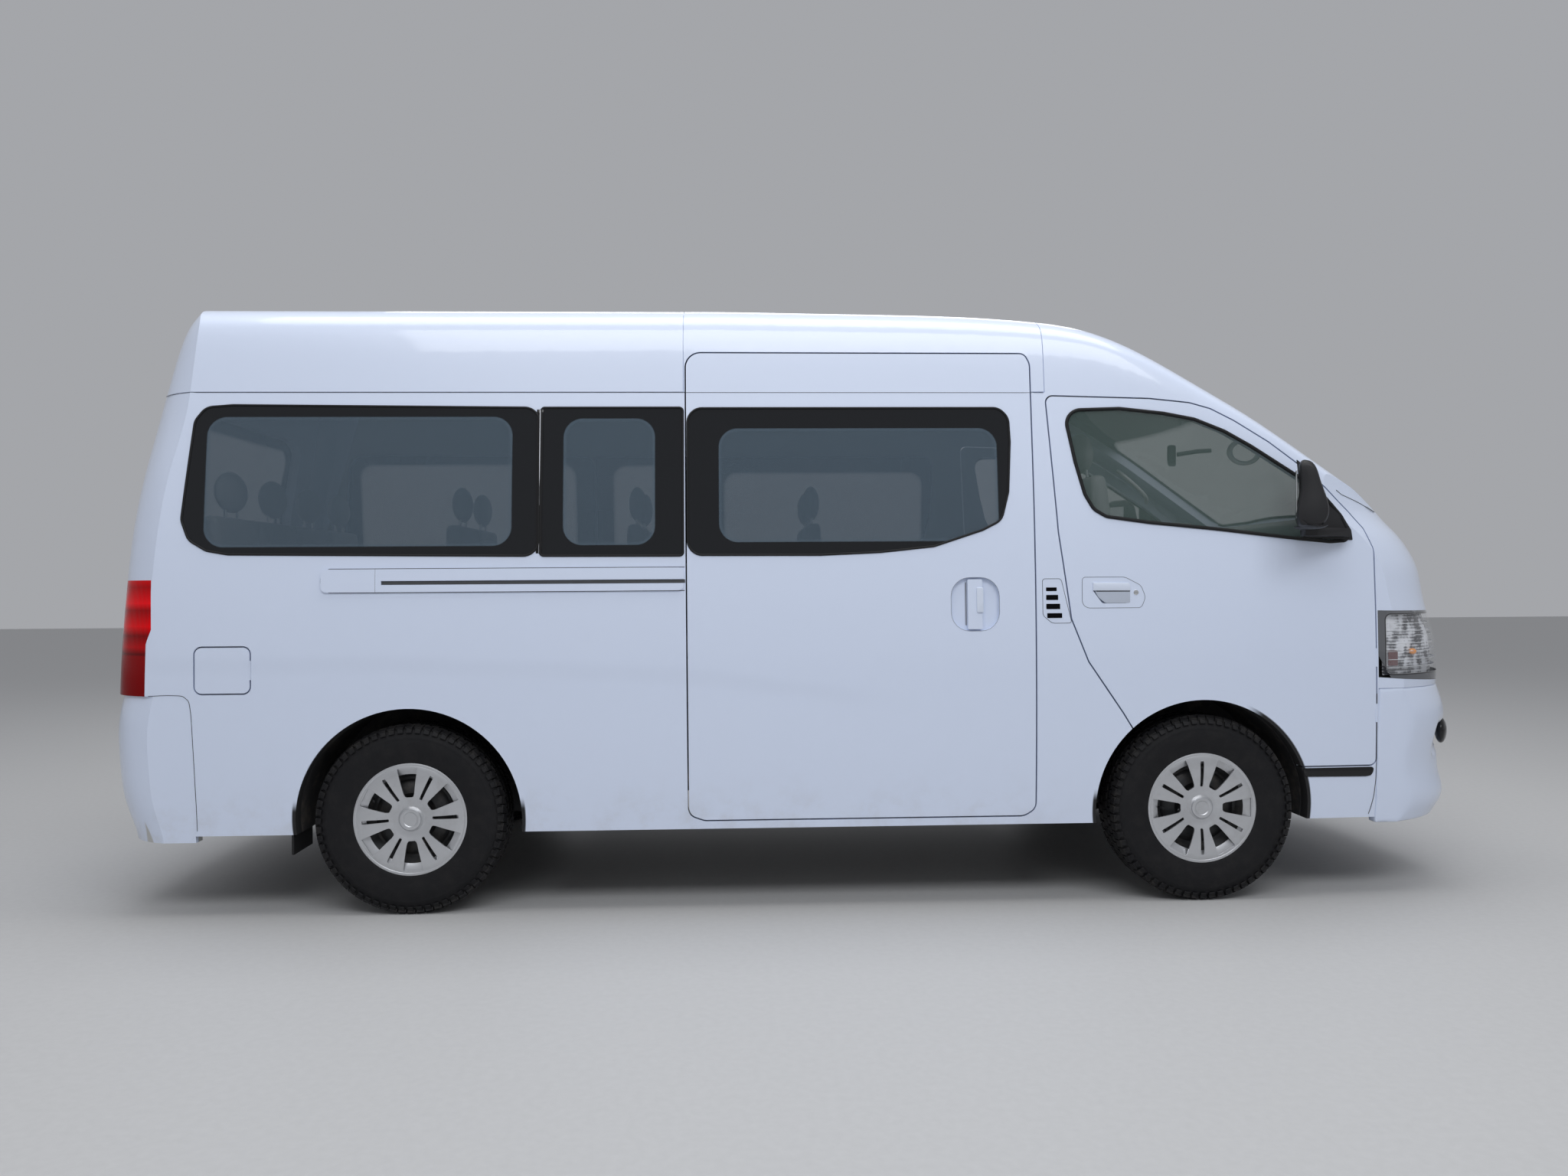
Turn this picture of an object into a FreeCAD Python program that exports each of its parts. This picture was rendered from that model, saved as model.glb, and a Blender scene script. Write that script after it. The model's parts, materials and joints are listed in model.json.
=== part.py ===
import FreeCAD, Part
import math
import os
import Sketcher
from types import SimpleNamespace
from FreeCAD import Placement, Rotation, Vector

# A long wide-body van used as a minibus, in millimetres: +X forward, +Y to its left, +Z up,
# the origin on the ground midway between the axles.
SIZES = {
    "wheelbase": 2940,
    "front_overhang": 1145,
    "rear_overhang": 1145,
    "body_width": 1880,
    "body_height": 2285,
    "widest_height": 800,
    "seam_height": 1915,
    "seam_tuck": 80,
    "sill_height": 298,
    "sill_tuck": 20,
    "nose_tuck": 34,
    "wall": 52,
    "gap": 5.5,
    "seam": 0.3,
    "glass": 6,
    "overrun": 400,
    "window_corner": 55,
    "door_corner": 60,
    "gate_corner": 160,
    "tyre_diameter": 693,
    "tyre_width": 195,
    "trim_diameter": 416,
    "bead_diameter": 381,
    "rim_well_diameter": 330,
    "rim_thickness": 6,
    "rim_width": 165,
    "hub_diameter": 150,
    "cap_diameter": 76,
    "track": 1654,
    "arch_radius": 408,
    "wheelhouse_wall": 8,
    "wheelhouse_inner": 520,
    "kingpin_inset": 60,
    "floor_height": 585,
    "floor_thickness": 30,
    "frame_width": 800,
    "rail_height": 120,
    "rail_width": 60,
    "axle_tube": 76,
    "axle_case": 260,
    "spring_width": 60,
    "spring_thickness": 28,
    "spring_length": 1180,
    "shaft_diameter": 63,
    "engine_length": 620,
    "engine_width": 560,
    "engine_height": 440,
    "tank_length": 900,
    "tank_width": 420,
    "tank_height": 200,
    "pipe_diameter": 55,
    "muffler_length": 520,
    "muffler_diameter": 180,
    "spare_diameter": 660,
    "seat_width": 430,
    "seat_depth": 430,
    "cushion_height": 110,
    "back_height": 520,
    "back_thickness": 90,
    "headrest_height": 150,
    "headrest_width": 240,
    "seat_height": 380,
    "seat_gap": 25,
    "leg_size": 40,
    "steering_diameter": 385,
    "steering_rim": 28,
    "column_diameter": 46,
    "pin_radius": 2.2,
    "pin_length": 70,
    "mirror_height": 275,
    "mirror_reach": 160,
    "flap_thickness": 12,
    "flap_pocket": 30,
    "mud_flap_thickness": 8,
    "rail_cover_depth": 7,
    "recess_depth": 16,
    "groove_width": 3,
    "grille_depth": 30,
    "seat_round": 34,
    "cover_thickness": 4,
}


class Length:
    """A length that keeps its number beside the sheet expression that gives it."""

    def __init__(self, value, text):
        self.value = float(value)
        self.text = text

    @staticmethod
    def of(other):
        if isinstance(other, Length):
            return other
        return Length(other, repr(other))

    def join(self, other, sign, value):
        return Length(value, f"({self.text} {sign} {other.text})")

    def __add__(self, other):
        other = Length.of(other)
        return self.join(other, "+", self.value + other.value)

    def __sub__(self, other):
        other = Length.of(other)
        return self.join(other, "-", self.value - other.value)

    def __mul__(self, other):
        other = Length.of(other)
        return self.join(other, "*", self.value * other.value)

    def __truediv__(self, other):
        other = Length.of(other)
        return self.join(other, "/", self.value / other.value)

    def __radd__(self, other):
        return Length.of(other) + self

    def __rsub__(self, other):
        return Length.of(other) - self

    def __rmul__(self, other):
        return Length.of(other) * self

    def __neg__(self):
        return Length(-self.value, f"(-{self.text})")

    def __float__(self):
        return self.value


doc = FreeCAD.newDocument("minibus")
sheet = doc.addObject("Spreadsheet::Sheet", "sizes")
for row, (alias, number) in enumerate(SIZES.items(), 1):
    sheet.set(f"A{row}", alias)
    sheet.set(f"B{row}", str(number))
    sheet.setAlias(f"B{row}", alias)
doc.recompute()

dim = SimpleNamespace(**{alias: Length(sheet.get(alias), f"sizes.{alias}") for alias in SIZES})
val = SimpleNamespace(**{alias: float(sheet.get(alias)) for alias in SIZES})
finished = {}


def along(station):
    """The X of a station: -2 the tail, -1 the rear axle, 1 the front axle, 2 the nose."""
    if station > 1:
        return val.wheelbase / 2 + (station - 1) * val.front_overhang
    if station < -1:
        return -val.wheelbase / 2 + (station + 1) * val.rear_overhang
    return station * val.wheelbase / 2


def up(share):
    return share * val.body_height


def out(share):
    return share * val.body_width / 2


def feature(name, shape):
    """A document object that holds a shape of its own."""
    item = doc.addObject("Part::Feature", name)
    item.Shape = shape
    return item


def bind(item, **lengths):
    for name, length in lengths.items():
        item.setExpression(name, Length.of(length).text)
    return item


def place(item, x=0, y=0, z=0):
    for axis, length in zip("xyz", (x, y, z)):
        length = Length.of(length)
        item.setExpression(f"Placement.Base.{axis}", length.text)
    return item


def box(name, size, corner):
    item = doc.addObject("Part::Box", name)
    bind(item, Length=size[0], Width=size[1], Height=size[2])
    return place(item, *corner)


def turned(item, axis):
    """Lays a part that points up along another axis."""
    ways = {
        "x": Rotation(Vector(0, 1, 0), 90),
        "y": Rotation(Vector(1, 0, 0), -90),
        "-y": Rotation(Vector(1, 0, 0), 90),
        "z": Rotation(),
    }
    item.Placement = Placement(Vector(), ways[axis])
    return item


def rod(name, radius, length, centre, axis="z"):
    """A cylinder that starts at a point and runs along an axis."""
    item = turned(doc.addObject("Part::Cylinder", name), axis)
    bind(item, Radius=radius, Height=length)
    return place(item, *centre)


def join(name, *items):
    item = doc.addObject("Part::MultiFuse", name)
    item.Shapes = list(items)
    return item


def cut(name, base, *tools):
    tool = tools[0] if len(tools) == 1 else join(f"{name}_tools", *tools)
    item = doc.addObject("Part::Cut", name)
    item.Base = base
    item.Tool = tool
    return item


def common(name, *items):
    item = doc.addObject("Part::MultiCommon", name)
    item.Shapes = list(items)
    return item


def group(name, *items):
    item = doc.addObject("Part::Compound", name)
    item.Links = list(items)
    return item


def mirrored(name, item):
    """The same piece on the other side of the vehicle."""
    copy = doc.addObject("Part::Mirroring", name)
    copy.Source = item
    copy.Normal = Vector(0, 1, 0)
    return copy


def done(node, item):
    """Names the object that is written as one sub-part."""
    item.Label = node
    finished[node] = item
    return item


def ring_wire(points, radius):
    """A closed outline with its corners rounded as far as its edges allow."""
    edges = []
    count = len(points)
    starts = []
    ends = []
    for i, point in enumerate(points):
        before = points[i - 1] - point
        after = points[(i + 1) % count] - point
        angle = before.getAngle(after)
        reach = min(radius / math.tan(angle / 2), 0.45 * before.Length, 0.45 * after.Length)
        start = point + before.normalize() * reach
        end = point + after.normalize() * reach
        if math.pi - angle < math.radians(4):
            starts.append(point)
            ends.append(point)
            continue
        bisector = (before + after).normalize()
        depth = reach * math.tan(angle / 2)
        centre = point + bisector * math.hypot(reach, depth)
        middle = centre - bisector * depth
        edges.append((i, Part.Arc(start, middle, end).toShape()))
        starts.append(start)
        ends.append(end)
    arcs = dict(edges)
    path = []
    for i in range(count):
        if i in arcs:
            path.append(arcs[i])
        if (ends[i] - starts[(i + 1) % count]).Length > 1e-6 * val.body_height:
            path.append(Part.LineSegment(ends[i], starts[(i + 1) % count]).toShape())
    return Part.Wire(path)


def prism(points, direction, radius=0.0, inset=0.0):
    """An outline pushed along a direction, drawn in by an inset."""
    wire = ring_wire(points, radius) if radius else Part.makePolygon(points + points[:1])
    face = Part.Face(wire)
    if inset:
        face = face.makeOffset2D(-inset)
    return face.extrude(direction)


def side_prism(name, shares, side, radius=0.0, inset=0.0, near=0.3, far=1.3):
    """A prism across one side of the body; side is -1 on the right and 1 on the left."""
    points = [Vector(along(s), side * out(near), up(h)) for s, h in shares]
    return feature(name, prism(points, Vector(0, side * out(far - near), 0), radius, inset))


def end_prism(name, shares, start, stop, radius=0.0, inset=0.0):
    """A prism along the vehicle between two stations, its outline given across and up."""
    points = [Vector(along(start), out(y), up(h)) for y, h in shares]
    return feature(name, prism(points, Vector(along(stop) - along(start), 0, 0), radius, inset))


def both_sides(shares):
    """Completes an outline given for the left half, from the middle down to the middle."""
    return list(shares) + [(-y, h) for y, h in reversed(shares) if y > 0]


def slab(name, low, high, stations, sides=(-1.3, 1.3)):
    """A block between two heights, two stations and two shares of the half width."""
    x0, x1 = (along(s) for s in stations)
    y0, y1 = (out(s) for s in sides)
    shape = Part.makeBox(x1 - x0, y1 - y0, up(high) - up(low), Vector(x0, y0, up(low)))
    return feature(name, shape)


# Sections of the body across: station, roof height, crown, flat half width and shoulder.
SECTION_SHARES = (
    (-0.318, 1.0, 0.0115, 0.335, 0.052),
    (-0.2, 1.0, 0.0115, 0.335, 0.052),
    (0.2, 0.996, 0.0115, 0.335, 0.052),
    (0.5, 0.990, 0.0125, 0.337, 0.051),
    (0.66, 0.982, 0.015, 0.343, 0.049),
    (0.80, 0.964, 0.022, 0.352, 0.046),
    (0.93, 0.927, 0.029, 0.368, 0.043),
    (1.10, 0.873, 0.034, 0.385, 0.039),
    (1.35, 0.789, 0.034, 0.398, 0.034),
    (1.62, 0.690, 0.031, 0.405, 0.032),
    (1.85, 0.602, 0.026, 0.405, 0.032),
    (2.15, 0.480, 0.022, 0.405, 0.032),
)
SIDE_SHARES = (0, 0.33, 0.66, 0.9)
SHOULDER_DEGREES = (8, 35, 62)
ROOF_SHARES = (1, 0.5, 0)
# The middle line of the nose and of the tail: height, then how far out along the overhang.
NOSE_SHARES = (
    (0.10, 0.965),
    (0.35, 0.971),
    (0.395, 0.972),
    (0.427, 0.965),
    (0.46, 0.946),
    (0.508, 0.924),
    (0.546, 0.909),
    (0.573, 0.884),
    (0.605, 0.838),
    (0.640, 0.776),
    (0.665, 0.757),
    (0.70, 0.745),
    (0.80, 0.72),
    (1.05, 0.68),
)
TAIL_SHARES = (
    (0.10, 0.986),
    (0.43, 0.988),
    (0.52, 0.975),
    (0.60, 0.961),
    (0.71, 0.925),
    (0.824, 0.873),
    (0.911, 0.824),
    (0.955, 0.786),
    (0.985, 0.735),
    (1.05, 0.60),
)
ACROSS_SHARES = (0, 0.4, 0.65, 0.8, 0.9, 0.97, 1.03)
# How the nose and the tail draw back towards the sides: a crown, a corner, its power and the slope beyond.
NOSE_BOW_SHARES = (0.026, 0.418, 6, 2.5)
TAIL_BOW_SHARES = (0.036, 0.18, 12, 2.5)
TUCK_START_SHARE = 0.7
TUCK_END_SHARE = 1.6


def half_width(x, z):
    """The half width of the body's side at a height, drawn in along the nose."""
    width = val.body_width / 2
    if z > val.widest_height:
        rise = (z - val.widest_height) / (val.seam_height - val.widest_height)
        width -= val.seam_tuck * rise ** 2
    else:
        fall = (val.widest_height - z) / (val.widest_height - val.sill_height)
        width -= val.sill_tuck * fall ** 2
    start = along(TUCK_START_SHARE)
    if x > start:
        width -= val.nose_tuck * ((x - start) / (along(TUCK_END_SHARE) - start)) ** 2
    return width


def section_points(row, depth):
    station, top, crown, flat, shoulder = row
    x = along(station)
    top = up(top)
    crown = up(crown)
    shoulder = up(shoulder)
    flat = flat * val.body_width
    spring = top - crown - shoulder
    low = val.sill_height - val.overrun / 4
    points = []
    for share in SIDE_SHARES:
        z = low + (spring - low) * share
        points.append((half_width(x, z) - depth, z))
    reach = half_width(x, spring) - depth - flat
    for degrees in SHOULDER_DEGREES:
        turn = math.radians(degrees)
        rise = (shoulder - depth) * math.sin(turn)
        points.append((flat + reach * math.cos(turn), spring + rise))
    for share in ROOF_SHARES:
        points.append((flat * share, top - depth - crown * share ** 2))
    right = [Vector(x, -y, z) for y, z in points]
    left = [Vector(x, y, z) for y, z in reversed(points[:-1])]
    return right + left


def curve(points, parameters=None):
    spline = Part.BSplineCurve()
    if parameters:
        spline.interpolate(Points=points, Parameters=parameters)
    else:
        spline.interpolate(points)
    return spline.toShape()


def tunnel(depth):
    """The body's cross-section run along the vehicle, straight at the back, lofted ahead."""
    first = section_points(SECTION_SHARES[0], 0.0)
    parameters = [0.0]
    for one, other in zip(first, first[1:]):
        parameters.append(parameters[-1] + math.sqrt((other - one).Length))
    wires = []
    for row in SECTION_SHARES:
        points = section_points(row, depth)
        base = Part.LineSegment(points[-1], points[0]).toShape()
        wires.append(Part.Wire([curve(points, parameters), base]))
    back = Part.Face(wires[0]).extrude(Vector(2 * along(-2), 0, 0))
    return back.fuse(Part.makeLoft(wires, True, False))


def bow(y, z, shares):
    """How far an end surface has drawn back at a distance from the middle."""
    crown, corner, power, slope = shares
    across = abs(y) / half_width(0.0, min(z, val.seam_height))
    within = min(across, 1.0)
    return out(crown * within ** 2 + corner * within ** power + slope * (across - within))


def end_block(depth, way, profile, bow_shares):
    """A block as wide as the body whose one end is the nose or the tail."""
    roof = up(1.2)
    far = -2 * along(2 * way)
    wires = []
    for share in [-s for s in reversed(ACROSS_SHARES[1:])] + list(ACROSS_SHARES):
        y = out(share)
        points = []
        for height, reach in profile:
            x = along(way * (1 + reach)) - way * (depth + bow(y, up(height), bow_shares))
            points.append(Vector(x, y, up(height)))
        top = Vector(points[-1].x, y, roof)
        corners = [points[-1], top, Vector(far, y, roof), Vector(far, y, points[0].z), points[0]]
        lines = [Part.LineSegment(one, other).toShape() for one, other in zip(corners, corners[1:])]
        wires.append(Part.Wire([curve(points), *lines]))
    return Part.makeLoft(wires, True, False)


def body_solid(depth, nose=NOSE_SHARES, tail=TAIL_SHARES):
    """The body drawn in by a depth, its nose and tail cut to their own surfaces."""
    front = tunnel(depth).common(end_block(depth, 1, nose, NOSE_BOW_SHARES))
    return front.common(end_block(depth, -1, tail, TAIL_BOW_SHARES))


outer_shape = body_solid(0.0)
inner_shape = body_solid(val.wall)
floor_line = Part.makeBox(
    along(2) - along(-2), 2 * out(1.1), up(1.1), Vector(along(-2), -out(1.1), val.sill_height)
)
outer = feature("outer", outer_shape.common(floor_line))
shell = feature("shell", outer.Shape.cut(inner_shape))

# Outlines seen from the side: station, then share of the height.
SLIDING_DOOR_SHARES = (
    (-0.314, 0.906),
    (-0.311, 0.152),
    (-0.270, 0.1425),
    (0.540, 0.1425),
    (0.571, 0.155),
    (0.574, 0.887),
    (0.560, 0.905),
)
FRONT_DOOR_SHARES = (
    (0.607, 0.834),
    (0.630, 0.605),
    (0.659, 0.464),
    (0.702, 0.394),
    (0.790, 0.310),
    (0.880, 0.216),
    (1.593, 0.216),
    (1.593, 0.577),
    (1.568, 0.612),
    (1.520, 0.640),
    (1.350, 0.716),
    (1.245, 0.756),
    (1.130, 0.792),
    (1.052, 0.812),
    (0.985, 0.822),
    (0.880, 0.829),
)
SLIDING_GLASS_SHARES = (
    (-0.307, 0.812),
    (-0.307, 0.572),
    (0.025, 0.571),
    (0.178, 0.575),
    (0.314, 0.584),
    (0.438, 0.610),
    (0.487, 0.626),
    (0.506, 0.672),
    (0.514, 0.755),
    (0.512, 0.796),
    (0.488, 0.812),
)
QUARTER_GLASS_SHARES = (
    (-0.678, 0.813),
    (-0.678, 0.572),
    (-1.560, 0.577),
    (-1.628, 0.583),
    (-1.684, 0.600),
    (-1.708, 0.632),
    (-1.678, 0.792),
    (-1.645, 0.814),
    (-1.560, 0.8175),
)
CENTRE_GLASS_SHARES = (
    (-0.318, 0.813),
    (-0.318, 0.571),
    (-0.674, 0.572),
    (-0.674, 0.813),
)
FRONT_GLASS_SHARES = (
    (0.655, 0.808),
    (0.680, 0.722),
    (0.702, 0.668),
    (0.724, 0.643),
    (0.756, 0.631),
    (0.866, 0.621),
    (1.050, 0.610),
    (1.337, 0.593),
    (1.440, 0.588),
    (1.498, 0.590),
    (1.504, 0.604),
    (1.480, 0.632),
    (1.420, 0.666),
    (1.345, 0.695),
    (1.181, 0.748),
    (1.093, 0.773),
    (0.995, 0.793),
    (0.914, 0.803),
    (0.800, 0.811),
)
FUEL_FLAP_SHARES = (
    (-1.665, 0.432),
    (-1.486, 0.432),
    (-1.486, 0.355),
    (-1.665, 0.355),
)
TAIL_LAMP_SHARES = (
    (-2.1, 0.537),
    (-1.797, 0.537),
    (-1.795, 0.459),
    (-1.812, 0.436),
    (-1.815, 0.354),
    (-2.1, 0.354),
)
HEAD_LAMP_SHARES = (
    (2.1, 0.470),
    (1.597, 0.474),
    (1.597, 0.363),
    (2.1, 0.345),
)
REAR_BUMPER_SHARES = (
    (-2.1, 0.354),
    (-1.727, 0.354),
    (-1.686, 0.338),
    (-1.680, 0.310),
    (-1.668, 0.120),
    (-2.1, 0.120),
)
FRONT_BUMPER_SHARES = (
    (2.1, 0.345),
    (1.597, 0.345),
    (1.590, 0.120),
    (2.1, 0.120),
)
# Outlines seen from an end: share of the half width, then of the height, for one half.
TAILGATE_SHARES = (
    (0, 0.956),
    (0.30, 0.956),
    (0.45, 0.954),
    (0.66, 0.940),
    (0.745, 0.890),
    (0.785, 0.800),
    (0.835, 0.560),
    (0.835, 0.357),
    (0, 0.357),
)
TAILGATE_GLASS_SHARES = ((0, 0.835), (0.55, 0.832), (0.66, 0.815), (0.735, 0.590), (0.68, 0.575), (0, 0.570))
HOOD_SHARES = ((0, 0.632), (0.735, 0.632), (0.735, 0.50), (0.70, 0.478), (0, 0.468))
GRILLE_SHARES = ((0, 0.466), (0.50, 0.466), (0.46, 0.395), (0.40, 0.352), (0, 0.352))
# The windscreen seen from above: share of the half width, then station.
WINDSCREEN_SHARES = ((0, 0.840), (0.40, 0.845), (0.715, 0.862), (0.76, 1.655), (0.50, 1.690), (0, 1.715))
ROOF_JOINT_SHARE = 0.607
ROOF_FRONT_SHARE = 0.85


def arch(name, station, side):
    """The round opening over a wheel."""
    centre = Vector(along(station), side * out(0.45), val.tyre_diameter / 2)
    shape = Part.makeCylinder(val.arch_radius, out(0.9), centre, Vector(0, side, 0))
    return feature(name, shape)


glass_inner = body_solid(val.glass)


def pane(name, opening):
    """The outer skin inside an opening, as thick as its glass."""
    return feature(name, outer.Shape.common(opening.Shape).cut(glass_inner))


skin_clear = body_solid(-val.seam)
recess_floor = body_solid(val.recess_depth)


def pocket(name, opening):
    """The outer skin inside an outline, down to the floor of a recess."""
    return feature(name, outer.Shape.common(opening.Shape).cut(recess_floor))


def groove(name, opening):
    """A fine groove in the outer skin."""
    return feature(name, outer.Shape.common(opening.Shape).cut(glass_inner))


def raised(name, opening, height, side):
    """A piece that stands on the skin by a height, with a hairline under it."""
    proud = opening.Shape.common(outer.Shape)
    proud.translate(Vector(0, side * height, 0))
    return feature(name, proud.cut(skin_clear))


def skin_x(height, way):
    """Where the body's middle line stands at a height, ahead or behind."""
    line = Part.makeLine(Vector(0, 0, height), Vector(2 * along(2 * way), 0, height))
    box = outer.Shape.common(line).BoundBox
    return box.XMax if way > 0 else box.XMin


def hinge_pins(name, starts, along_axis, web):
    """Hinge pins on their axis, each with a web back into the edge of its panel."""
    pieces = []
    for start in starts:
        pin = Part.makeCylinder(val.pin_radius, val.pin_length, start, along_axis)
        reach = along_axis * val.pin_length + web
        low = Vector(*(min(0, step) for step in reach))
        plate = Part.makeBox(*(abs(step) for step in reach), start + low)
        pieces.append(pin.fuse(plate))
    return feature(name, Part.makeCompound(pieces))


right, left = -1, 1
sliding_opening = side_prism("sliding_opening", SLIDING_DOOR_SHARES, right, val.door_corner)
sliding_fill = side_prism("sliding_fill", SLIDING_DOOR_SHARES, right, val.door_corner, val.gap)
sliding_glass_hole = side_prism("sliding_glass_hole", SLIDING_GLASS_SHARES, right, val.window_corner)
sliding_glass_fill = side_prism(
    "sliding_glass_fill", SLIDING_GLASS_SHARES, right, val.window_corner, val.seam
)
door_opening = side_prism("door_opening", FRONT_DOOR_SHARES, right, val.door_corner / 2)
door_fill = side_prism("door_fill", FRONT_DOOR_SHARES, right, val.door_corner / 2, val.gap)
door_glass_hole = side_prism("door_glass_hole", FRONT_GLASS_SHARES, right, val.window_corner)
door_glass_fill = side_prism("door_glass_fill", FRONT_GLASS_SHARES, right, val.window_corner, val.seam)
front_arch = arch("front_arch", 1, right)
rear_arch = arch("rear_arch", -1, right)
tail_lamp_zone = side_prism("tail_lamp_zone", TAIL_LAMP_SHARES, right, near=0.835)
rear_bumper_zone = side_prism("rear_bumper_zone", REAR_BUMPER_SHARES, right, near=-1.2, far=1.2)
front_bumper_zone = side_prism("front_bumper_zone", FRONT_BUMPER_SHARES, right, near=-1.2, far=1.2)
head_lamp_zone = common(
    "head_lamp_zone",
    side_prism("head_lamp_side", HEAD_LAMP_SHARES, right, near=0.465),
    feature("skin", outer.Shape),
)
gate_opening = end_prism("gate_opening", both_sides(TAILGATE_SHARES), -2.1, -1.5, val.gate_corner)
gate_fill = end_prism("gate_fill", both_sides(TAILGATE_SHARES), -2.1, -1.5, val.gate_corner, val.gap)
gate_pane = both_sides(TAILGATE_GLASS_SHARES)
gate_glass_hole = end_prism("gate_glass_hole", gate_pane, -2.1, -1.5, val.window_corner)
gate_glass_fill = end_prism("gate_glass_fill", gate_pane, -2.1, -1.5, val.window_corner, val.seam)
hood_opening = end_prism("hood_opening", both_sides(HOOD_SHARES), 1.5, 2.1, val.window_corner)
hood_fill = end_prism("hood_fill", both_sides(HOOD_SHARES), 1.5, 2.1, val.window_corner, val.gap)
grille_zone = end_prism("grille_zone", both_sides(GRILLE_SHARES), 1.7, 2.1)
screen_points = [Vector(along(s), out(y), up(0.5)) for y, s in both_sides(WINDSCREEN_SHARES)]
screen_hole = feature("screen_hole", prism(screen_points, Vector(0, 0, up(0.6)), val.window_corner))
screen_fill = feature("screen_fill", prism(screen_points, Vector(0, 0, up(0.6)), val.window_corner, val.seam))
quarter_hole = side_prism("quarter_hole", QUARTER_GLASS_SHARES, right, val.window_corner)
centre_hole = side_prism("centre_hole", CENTRE_GLASS_SHARES, right, val.window_corner / 4)
quarter_fill = side_prism("quarter_fill", QUARTER_GLASS_SHARES, right, val.window_corner, val.seam)
centre_fill = side_prism("centre_fill", CENTRE_GLASS_SHARES, right, val.window_corner / 4, val.seam)
doc.recompute()


def mirrored_shape(item):
    return item.Shape.mirror(Vector(), Vector(0, 1, 0))


def both(name, item):
    """A cutting shape with its twin on the other side."""
    return feature(name, item.Shape.fuse(mirrored_shape(item)))


tail_lamps_zone = both("tail_lamps_zone", tail_lamp_zone)
head_lamps_zone = both("head_lamps_zone", head_lamp_zone)

seam_share = val.seam_height / val.body_height
roof_block = join(
    "roof_block",
    slab("roof_back", seam_share, 1.1, (-2, ROOF_JOINT_SHARE)),
    slab("roof_front", 0.74, 1.1, (ROOF_JOINT_SHARE, ROOF_FRONT_SHARE)),
)
groove_share = val.groove_width / val.body_height
roof_grooves = [
    groove(
        "roof_groove",
        slab("roof_groove_slab", seam_share, seam_share + groove_share, (-2, ROOF_JOINT_SHARE)),
    ),
]
for i, station in enumerate((-0.318, ROOF_JOINT_SHARE)):
    ends_at = (station, station + 2 * val.groove_width / val.wheelbase)
    roof_grooves.append(groove(f"roof_joint_{i}", slab(f"roof_joint_slab_{i}", seam_share, 1.1, ends_at)))
roof = cut(
    "roof_cut", common("roof_whole", shell, roof_block), sliding_opening, both("door_openings", door_opening),
    gate_opening, screen_hole, *roof_grooves,
)
done("roof_panel", roof)

fender_block = join(
    "fender_block",
    slab("pillar_block", 0.5, 1.1, (ROOF_FRONT_SHARE, 2), (-1.3, 0)),
    slab("fender_low_block", 0.1, 0.5, (1, 2), (-1.3, 0)),
)
side_block = slab("side_block", 0.1, seam_share, (-2, 1), (-1.3, -0.3))
side_whole = cut("side_whole_cut", common("side_whole", shell, side_block), roof_block, fender_block)
doc.recompute()
side_left_whole = mirrored("side_left_whole", side_whole)
fuel_flap_fill = side_prism("fuel_flap_fill", FUEL_FLAP_SHARES, right, val.door_corner / 2, val.gap)
fuel_flap_hole = side_prism("fuel_flap_hole", FUEL_FLAP_SHARES, right, val.door_corner / 2)
flap_skin = outer.Shape.common(fuel_flap_hole.Shape)
flap_deep = flap_skin.copy()
flap_deep.translate(Vector(0, val.flap_pocket, 0))
flap_pocket = feature("flap_pocket_cut", flap_skin.cut(flap_deep))
flap_block = outer.Shape.common(fuel_flap_fill.Shape)
flap_inner = flap_block.copy()
flap_inner.translate(Vector(0, val.flap_thickness, 0))
flap_edge = along(FUEL_FLAP_SHARES[1][0]) - val.gap / 2
flap_middle = up((FUEL_FLAP_SHARES[0][1] + FUEL_FLAP_SHARES[2][1]) / 2)
flap_pins = hinge_pins(
    "flap_pins",
    [Vector(flap_edge, -half_width(flap_edge, flap_middle), flap_middle - val.pin_length / 2)],
    Vector(0, 0, 1),
    Vector(-val.gap, val.pin_radius, 0),
)
done("fuel_flap", join("fuel_flap_join", feature("fuel_flap_plate", flap_block.cut(flap_inner)), flap_pins))

VENT_SHARES = (
    ((0.597, 0.5155), (0.597, 0.5103), (0.6235, 0.5103), (0.6235, 0.5155)),
    ((0.597, 0.5037), (0.597, 0.4960), (0.6270, 0.4960), (0.6270, 0.5037)),
    ((0.597, 0.4888), (0.597, 0.4810), (0.6317, 0.4810), (0.6317, 0.4888)),
    ((0.599, 0.4740), (0.606, 0.4665), (0.6360, 0.4665), (0.6360, 0.4740)),
)
vents = [
    pocket(f"vent_{i}", side_prism(f"vent_slot_{i}", shares, right)) for i, shares in enumerate(VENT_SHARES)
]
done(
    "side_panel_right",
    cut(
        "side_right_cut", side_whole, *vents, sliding_opening, door_opening,
        quarter_hole, centre_hole, rear_arch, front_arch,
        tail_lamps_zone, rear_bumper_zone, gate_opening, flap_pocket,
    ),
)
left_cuts = [
    feature(f"{item.Name}_left", mirrored_shape(item))
    for item in (door_opening, quarter_hole, centre_hole, sliding_glass_hole, rear_arch, front_arch)
]
done(
    "side_panel_left",
    cut(
        "side_left_cut", side_left_whole, *left_cuts, tail_lamps_zone, rear_bumper_zone, gate_opening,
    ),
)
fender = cut(
    "fender_cut", common("fender_whole", shell, fender_block),
    door_opening, screen_hole, hood_opening, grille_zone, head_lamp_zone, front_arch, front_bumper_zone,
)
done("front_fender_right", fender)
done("front_fender_left", mirrored("fender_mirror", fender))

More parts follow.
